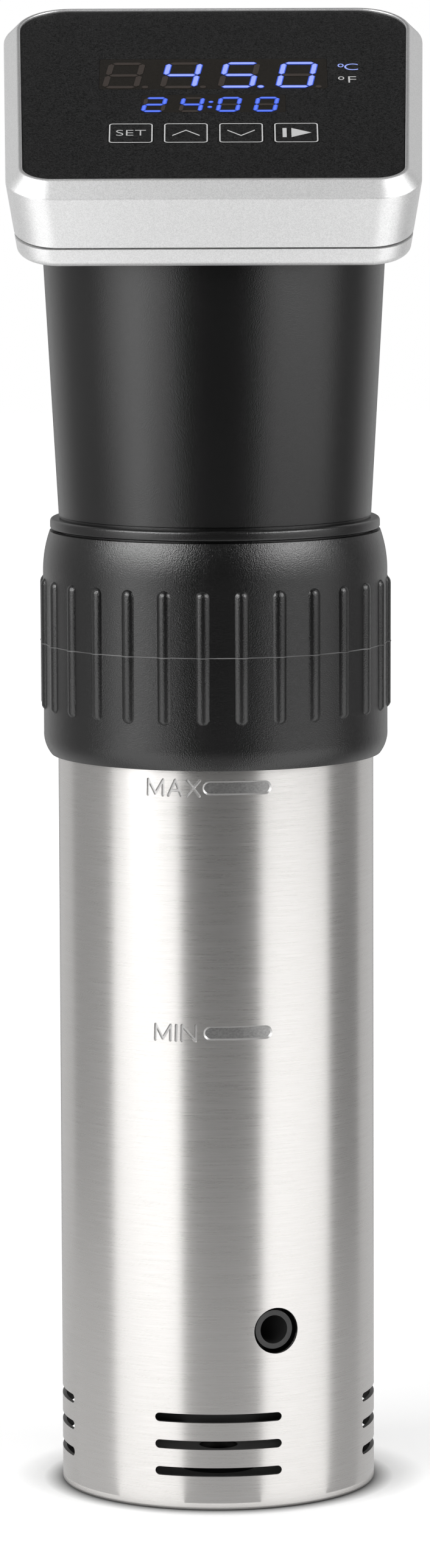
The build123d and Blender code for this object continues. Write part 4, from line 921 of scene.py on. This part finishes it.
def screws():
    """The screws that show in their recesses: behind the neck and under the head."""
    back, down = Matrix.Rotation(-math.pi / 2, 4, "X"), Matrix.Rotation(math.pi, 4, "X")
    heads = [screw_head(Matrix.Translation((x, NECK_SCREW_SEAT_Y, z)) @ back) for x, z in NECK_SCREWS]
    piece("neck_screw_heads", joined(heads), "bright", "drive_unit", ["neck_screws"])
    seat = HEAD_SCREW_SINK - HEAD_DROP
    heads = [screw_head(HEAD @ Matrix.Translation((x, y, seat)) @ down) for x, y in HEAD_SCREWS]
    piece("head_screw_heads", joined(heads), "bright", "drive_unit", ["head_screws"])


# Panel print
def on_panel(bm, lift=PRINT_LIFT):
    """Lays flat print on the panel."""
    return put(bm, HEAD @ Matrix.Translation((0, 0, lift - PANEL_SINK)))


def thick(bm):
    """Gives flat print its film thickness."""
    for face in face_out(bm).faces:
        if face.normal.z < 0:
            face.normal_flip()
    made = bmesh.ops.extrude_face_region(bm, geom=bm.faces[:])
    verts = [g for g in made["geom"] if isinstance(g, bmesh.types.BMVert)]
    bmesh.ops.translate(bm, vec=(0, 0, PRINT_T), verts=verts)
    return face_out(bm)


def polygon(bm, points):
    bm.faces.new([bm.verts.new((x, y, 0)) for x, y in points])


# Lit segments of the digits that are shown: a on top, then clockwise to f, and g in the middle
SEGMENTS = {"0": "abcdef", "2": "abged", "4": "fgbc", "5": "afgcd"}


def digit(segments, place, size, grow=0.0):
    """The named segments of one digit, round its centre: leaning bars with pointed ends."""
    width, height, bar = size
    x, y, half = width / 2 - bar / 2, height / 2 - bar / 2, bar / 2 + grow
    lines = {
        "a": ((-x, y), (x, y)), "b": ((x, y), (x, 0)), "c": ((x, 0), (x, -y)), "d": ((-x, -y), (x, -y)),
        "e": ((-x, 0), (-x, -y)), "f": ((-x, y), (-x, 0)), "g": ((-x, 0), (x, 0)),
    }
    bm = bmesh.new()
    for name in segments:
        start, end = Vector(lines[name][0]), Vector(lines[name][1])
        run = (end - start).normalized()
        trim = run * (SEGMENT_GAP * bar - grow + half)
        start, end, tip, side = start + trim, end - trim, run * half, Vector((-run.y, run.x)) * half
        points = [start - tip, start - side, end - side, end + tip, end + side, start + side]
        polygon(bm, [(p.x + p.y * DIGIT_LEAN, p.y) for p in points])
    return put(bm, Matrix.Translation((*place, 0)))


def dot(place, radius, grow=0.0):
    bm = bmesh.new()
    bmesh.ops.create_circle(
        bm, cap_ends=True, segments=20, radius=radius + grow, matrix=Matrix.Translation((*place, 0))
    )
    return bm


def display(name, text, y, pitch, size, dots, core):
    """One row of digits: unlit segments, the deep glow round the lit ones, and their bright cores."""
    places = [(pitch * (index - (len(text) - 1) / 2), y) for index in range(len(text))]
    lit = [(SEGMENTS.get(letter, ""), place) for letter, place in zip(text, places)]
    dark = [([bar for bar in "abcdefg" if bar not in segments], place) for segments, place in lit]
    rows = {
        "unlit": ([digit(segments, place, size) for segments, place in dark], 0.0),
        "glow": ([digit(segments, place, size, SEGMENT_GLOW) for segments, place in lit], PRINT_T),
        "core": ([digit(segments, place, size, -SEGMENT_CORE) for segments, place in lit], 2 * PRINT_T),
    }
    for place, radius, shown in dots:
        if shown:
            rows["glow"][0].append(dot(place, radius, DOT_GLOW))
            rows["core"][0].append(dot(place, radius, -DOT_CORE))
        else:
            rows["unlit"][0].append(dot(place, radius))
    for finish, (parts, lift) in rows.items():
        bm = put(thick(joined(parts)), Matrix.Translation((DIGITS_X, 0, 0)))
        on_panel(bm, PRINT_LIFT + lift)
        colour = core if finish == "core" else finish
        piece(f"{name}_{finish}", bm, colour, "drive_unit", sharp=60.0)


def lettering(text, size, place):
    """Plain printed text as flat faces."""
    curve = bpy.data.curves.new("text", "FONT")
    curve.body = text
    curve.size = size
    curve.offset = -PRINT_THINNING
    curve.align_x = "CENTER"
    curve.align_y = "CENTER"
    curve.resolution_u = 6
    bm = used_up(in_scene("text", curve))
    bmesh.ops.remove_doubles(bm, verts=bm.verts, dist=1e-5)
    return put(bm, Matrix.Translation((*place, 0)))


def hollow(bm, line):
    """Leaves only a line along the edge of a flat face."""
    face = bm.faces[:][0]
    inset(bm, face, line)
    bmesh.ops.delete(bm, geom=[face], context="FACES_ONLY")
    return bm


def key_outline():
    bm = bmesh.new()
    w, d = KEY_W / 2 - KEY_LINE_INSET, KEY_D / 2 - KEY_LINE_INSET
    polygon(bm, ((-w, -d), (w, -d), (w, d), (-w, d)))
    bevelled(bm, bm.verts[:], KEY_CORNER_R, 6, "VERTICES")
    return hollow(bm, KEY_LINE)


def chevron(up):
    bm = bmesh.new()
    half, rise, line = CHEVRON_HALF_W, CHEVRON_RISE * up, CHEVRON_LINE * up
    foot = -rise + line * 1.3
    polygon(bm, ((-half, -rise), (0, rise - line), (half, -rise), (half, foot), (0, rise + line * 0.3), (-half, foot)))
    return bm


def start_sign():
    """A bar and a triangle."""
    bm = bmesh.new()
    high = START_HALF_H
    left, right = START_BAR_XS
    polygon(bm, ((left, -high), (right, -high), (right, high), (left, high)))
    left, right = START_TRIANGLE_XS
    polygon(bm, ((left, -high), (right, 0.0), (left, high)))
    return bm


def degree_ring(x, y):
    bm = bmesh.new()
    place = Matrix.Translation((x, y, 0)) @ Matrix.Diagonal((*DEGREE_HALF_SIZE, 1, 1))
    bmesh.ops.create_circle(bm, cap_ends=True, segments=24, radius=1.0, matrix=place)
    return hollow(bm, DEGREE_LINE)


def panel_print():
    signs = {
        "key_set": lettering("SET", SET_SIZE, (0, 0)),
        "key_up": chevron(1),
        "key_down": chevron(-1),
        "key_start": start_sign(),
    }
    for place, (name, sign) in enumerate(signs.items()):
        bm = put(joined([key_outline(), sign]), Matrix.Translation((KEY_PITCH * (place - 1.5), KEY_Y, 0)))
        piece(f"{name}_print", on_panel(thick(bm)), "print", name, sharp=60.0)
    x, y, radius = POINT
    points = [((TEMP_PITCH * (place - 1.5) + x, TEMP_Y + y), radius, place == 2) for place in range(4)]
    display("temperature", " 450", TEMP_Y, TEMP_PITCH, TEMP_DIGIT, points, "core")
    x, y, radius = COLON
    colon = [((x * side, TIMER_Y + y * side), radius, True) for side in (-1, 1)]
    display("timer", "2400", TIMER_Y, TIMER_PITCH, TIMER_DIGIT, colon, "deep_core")
    for name, letter, y, finish in (("celsius", "C", CELSIUS_Y, "core"), ("fahrenheit", "F", FAHRENHEIT_Y, "print")):
        ring = degree_ring(UNIT_X + DEGREE_SHIFT[0], y + DEGREE_SHIFT[1])
        sign = joined([lettering(letter, UNIT_SIZE, (UNIT_X, y)), ring])
        piece(f"{name}_sign", on_panel(thick(sign)), finish, "drive_unit", sharp=60.0)


# Finishes of the CAD nodes that stay
NODE_FINISH = {
    # Painted shade: the base plate inside the tube takes the bore's darkened steel
    "inside": ["base_plate"],
    "rubber": ["ring_gasket", "bulkhead_seal", "shaft_seal", "cord_inlet"],
    "bright": [
        "cap_screws", "bulkhead_screws", "motor_screws", "pump_screws", "motor_shaft", "drive_shaft", "upper_bearing",
        "lower_bearing", "heater_element", "temperature_probe", "level_rods", "standoff_rods",
    ],
    "film": ["panel_overlay", "key_set", "key_up", "key_down", "key_start"],
    "lens": ["temperature_lens", "timer_lens"],
    "block": ["led_temperature", "led_timer", "tact_switches", "buzzer", "relay", "capacitor"],
    "board": ["display_board", "power_board"],
    "yellow": ["transformer"],
    "green": ["terminal_block"],
    "wet": ["bulkhead", "pump_housing", "pump_cover", "outlet_nozzle", "impeller", "shaft_coupling"],
    "dry": ["board_deck", "cooling_fan"],
    "plate": ["motor_can", "motor_end_bell", "motor_mount"],
    "core_iron": ["stator", "rotor_core"],
    "bronze": ["shaft_guide", "heater_terminals"],
    "alloy": ["heat_sink"],
}


def dress_nodes():
    for finish, names in NODE_FINISH.items():
        for name in names:
            mesh = frame["nodes"][name].data
            mesh.materials.clear()
            mesh.materials.append(FINISH[finish])


# Studio: pale floor, white surroundings, soft lights, and cards for the shiny pieces to reflect
CAMERA_DISTANCE = 1.40
CAMERA_Z = 0.322
CAMERA_PITCH = 7.2575
CAMERA_X = -0.0002
CAMERA_ROLL = -0.22
FRAME_HEIGHT_PX = 2576
FOCAL_PX = 11387
SENSOR_MM = 36.0
SKY_LEVEL = 0.45
FLOOR_R = 3.0
# Nearest and farthest distance from the axis, and the level at each: the floor's colour, darkened to black at the foot
# as a painted contact shadow, then two shares of its glow, the first of which is nothing under the object, as painted
# shade
FLOOR_RAMPS = ((0.0312, 0.036, 0.15, 1.0), (0.032, 0.043, 0.0, 1.0), (0.05, 1.0, 0.38, 0.7))
LIGHT_AIM_Z = 0.15
# Azimuth, elevation, distance, size, power, and whether shiny pieces show it
LIGHTS = {
    "left_soft_light": (-52, 30, 1.3, (1.1, 0.5), 10.2, True),
    "right_soft_light": (57, 30, 1.3, (1.1, 0.5), 5.6, True),
    "top_soft_light": (0, 78, 1.2, (1.0, 1.0), 0.8, True),
    "low_front_light": (0, -20, 0.43, (0.4, 0.2), 2.8, False),
}
CARD_R = 0.3
CARD_TOP = 1.4
NEAR_R = CARD_R - 0.01
NEARER_R = NEAR_R - 0.01
STRIP_R = 0.0322
STRIP_Z = 0.0015
# First and last azimuth, level of the card, and level of the strip on the floor before it
UPRIGHT_CARDS = {
    "front": (-25, 31, 0.2, 0.48),
    "left": (-124, -78, 0.36, 0.6),
    "right": (86, 122, 0.24, 0.45),
    "back": (122, 236, 0.58, 0.56),
}
# Level, first and last azimuth, then radius and height of the lower and of the upper rim
HANGING_CARDS = {
    "front_high_card": (0.04, -25, 31, (NEAR_R, 0.125), (NEAR_R, CARD_TOP)),
    "left_dim_card": (0.25, -78, -25, (NEAR_R, 0.116), (NEAR_R, 0.15)),
    "right_dim_card": (0.2, 31, 86, (NEAR_R, 0.116), (NEAR_R, 0.15)),
    "left_bright_card": (2.1, -63, -44, (NEARER_R, 0.13), (NEARER_R, 0.24)),
    "left_high_card": (6.5, -62, -38, (NEARER_R, 0.27), (NEARER_R, 0.4)),
    "right_high_card": (6.0, 40, 66, (NEARER_R, 0.27), (NEARER_R, 0.4)),
    "back_middle_card": (0.28, 160, 200, (NEAR_R, 0.0), (NEAR_R, CARD_TOP)),
    "top_front_card": (0.05, -80, 80, (NEARER_R, 0.5), (0.01, CARD_TOP)),
    "top_back_card": (0.02, 110, 250, (NEARER_R, 0.5), (0.1, CARD_TOP + 0.1)),
}


def camera():
    data = bpy.data.cameras.new("camera")
    data.sensor_width = SENSOR_MM
    data.lens = FOCAL_PX * SENSOR_MM / FRAME_HEIGHT_PX
    data.clip_end = 20.0
    made = in_scene("camera", data)
    made.location = (CAMERA_X, -CAMERA_DISTANCE, CAMERA_Z)
    made.rotation_euler = (
        Matrix.Rotation(math.radians(90 - CAMERA_PITCH), 3, "X") @ Matrix.Rotation(math.radians(CAMERA_ROLL), 3, "Z")
    ).to_euler()
    bpy.context.scene.camera = made


def chained(tree, operation, total, others):
    """A value put through a Math node with each of the others in turn."""
    for other in others:
        node = tree.nodes.new("ShaderNodeMath")
        node.operation = operation
        tree.links.new(total, node.inputs[0])
        tree.links.new(other, node.inputs[1])
        total = node.outputs["Value"]
    return total


def white_rays(tree):
    """One for rays from the camera, from glossy and from clear surfaces."""
    rays = tree.nodes.new("ShaderNodeLightPath").outputs
    return chained(tree, "MAXIMUM", rays["Is Camera Ray"], [rays["Is Glossy Ray"], rays["Is Transmission Ray"]])


def surroundings():
    world = bpy.data.worlds.new("surroundings")
    bpy.context.scene.world = world
    world.use_nodes = True
    tree = world.node_tree
    sky = tree.nodes["Background"]
    set_values(sky, Color=(1, 1, 1, 1))
    level = tree.nodes.new("ShaderNodeMapRange")
    set_values(level, To_Min=SKY_LEVEL, To_Max=1.0)
    tree.links.new(white_rays(tree), level.inputs["Value"])
    tree.links.new(level.outputs["Result"], sky.inputs["Strength"])


def floor():
    """White floor with painted shade: dark under the object and where it stands, a painted contact shadow in its colour
    and no glow there, and glowing less near it, so that the shadow stays.
    """
    bm = bmesh.new()
    bmesh.ops.create_circle(bm, cap_ends=True, segments=96, radius=FLOOR_R)
    made = plain_object("floor", bm)
    material, tree, shader = finish_start("floor_white_painted_shadow")
    link = tree.links.new
    node = add_group(
        tree, GRAIN, Grain_Scale=900.0, Patch_Scale=4.0, Dark=grey(0.76), Light=grey(0.8), Smooth=0.6, Rough=0.7
    )
    place = tree.nodes.new("ShaderNodeTexCoord")
    away = tree.nodes.new("ShaderNodeVectorMath")
    away.operation = "LENGTH"
    link(place.outputs["Object"], away.inputs[0])
    ramps = []
    for near, far, low, high in FLOOR_RAMPS:
        ramp = tree.nodes.new("ShaderNodeMapRange")
        set_values(ramp, From_Min=near, From_Max=far, To_Min=low, To_Max=high)
        link(away.outputs["Value"], ramp.inputs["Value"])
        ramps.append(ramp.outputs["Result"])
    # Painted contact shadow: the floor's colour goes to black towards the foot
    shade = tree.nodes.new("ShaderNodeMix")
    shade.data_type = "RGBA"
    low, high, result = MIX_SOCKETS["RGBA"]
    shade.inputs[low].default_value = grey(0.0)
    link(ramps[0], shade.inputs["Factor"])
    link(node.outputs["Color"], shade.inputs[high])
    link(shade.outputs[result], shader.inputs["Base Color"])
    link(node.outputs["Roughness"], shader.inputs["Roughness"])
    set_values(shader, Specular_IOR_Level=0.0, Emission_Color=(1, 1, 1, 1))
    # Painted shade: the first share takes the glow away under the object and at its foot
    link(chained(tree, "MULTIPLY", white_rays(tree), ramps[1:]), shader.inputs["Emission Strength"])
    made.data.materials.append(material)


def soft_light(name, azimuth, elevation, distance, size, power, shown):
    data = bpy.data.lights.new(name, "AREA")
    data.shape = "RECTANGLE"
    data.size, data.size_y = size
    data.energy = power
    made = in_scene(name, data)
    a, e = math.radians(azimuth), math.radians(elevation)
    way = Vector((math.sin(a) * math.cos(e), -math.cos(a) * math.cos(e), math.sin(e)))
    made.location = Vector((0, 0, LIGHT_AIM_Z)) + way * distance
    made.rotation_mode = "QUATERNION"
    made.rotation_quaternion = (-way).to_track_quat("-Z", "Y")
    made.visible_glossy = shown


def card(name, level, *rims):
    """A curved card that only shiny pieces show, between two arcs: first and last azimuth, radius and height."""
    bm = bmesh.new()
    for start, end, radius, height in rims:
        a = math.radians(start)
        first = bm.verts.new((math.sin(a) * radius, -math.cos(a) * radius, height))
        bmesh.ops.spin(
            bm, geom=[first], cent=(0, 0, 0), axis=(0, 0, 1), angle=math.radians(end - start), steps=24,
            use_duplicate=False,
        )
    bmesh.ops.bridge_loops(bm, edges=bm.edges[:])
    made = plain_object(name, bm)
    material, tree, shader = finish_start(name)
    set_values(shader, Base_Color=(0, 0, 0, 1), Roughness=1.0, Specular_IOR_Level=0.0)
    set_values(shader, Emission_Color=grey(level), Emission_Strength=1.0)
    made.data.materials.append(material)
    made.visible_camera = made.visible_diffuse = made.visible_shadow = False


def studio():
    surroundings()
    floor()
    for name, light in LIGHTS.items():
        soft_light(name, *light)
    for name, (start, end, upright, flat) in UPRIGHT_CARDS.items():
        card(f"{name}_card", upright, (start, end, CARD_R, 0.0), (start, end, CARD_R, CARD_TOP))
        foot_end = end / 2 if end < 180 else end / 2 + 180
        card(f"{name}_strip", flat, (start / 2, foot_end, STRIP_R, STRIP_Z), (start, end, CARD_R, STRIP_Z))
    card("back_middle_strip", 0.3, (170, 190, STRIP_R, 2 * STRIP_Z), (160, 200, NEAR_R, 2 * STRIP_Z))
    for name, (level, start, end, low, high) in HANGING_CARDS.items():
        card(name, level, (start, end, *low), (start, end, *high))
    bpy.context.scene.view_settings.view_transform = "Standard"


dress_nodes()
steel_sleeve()
grip_ring()
neck()
bezel()
base_pan()
screws()
panel_print()
camera()
studio()
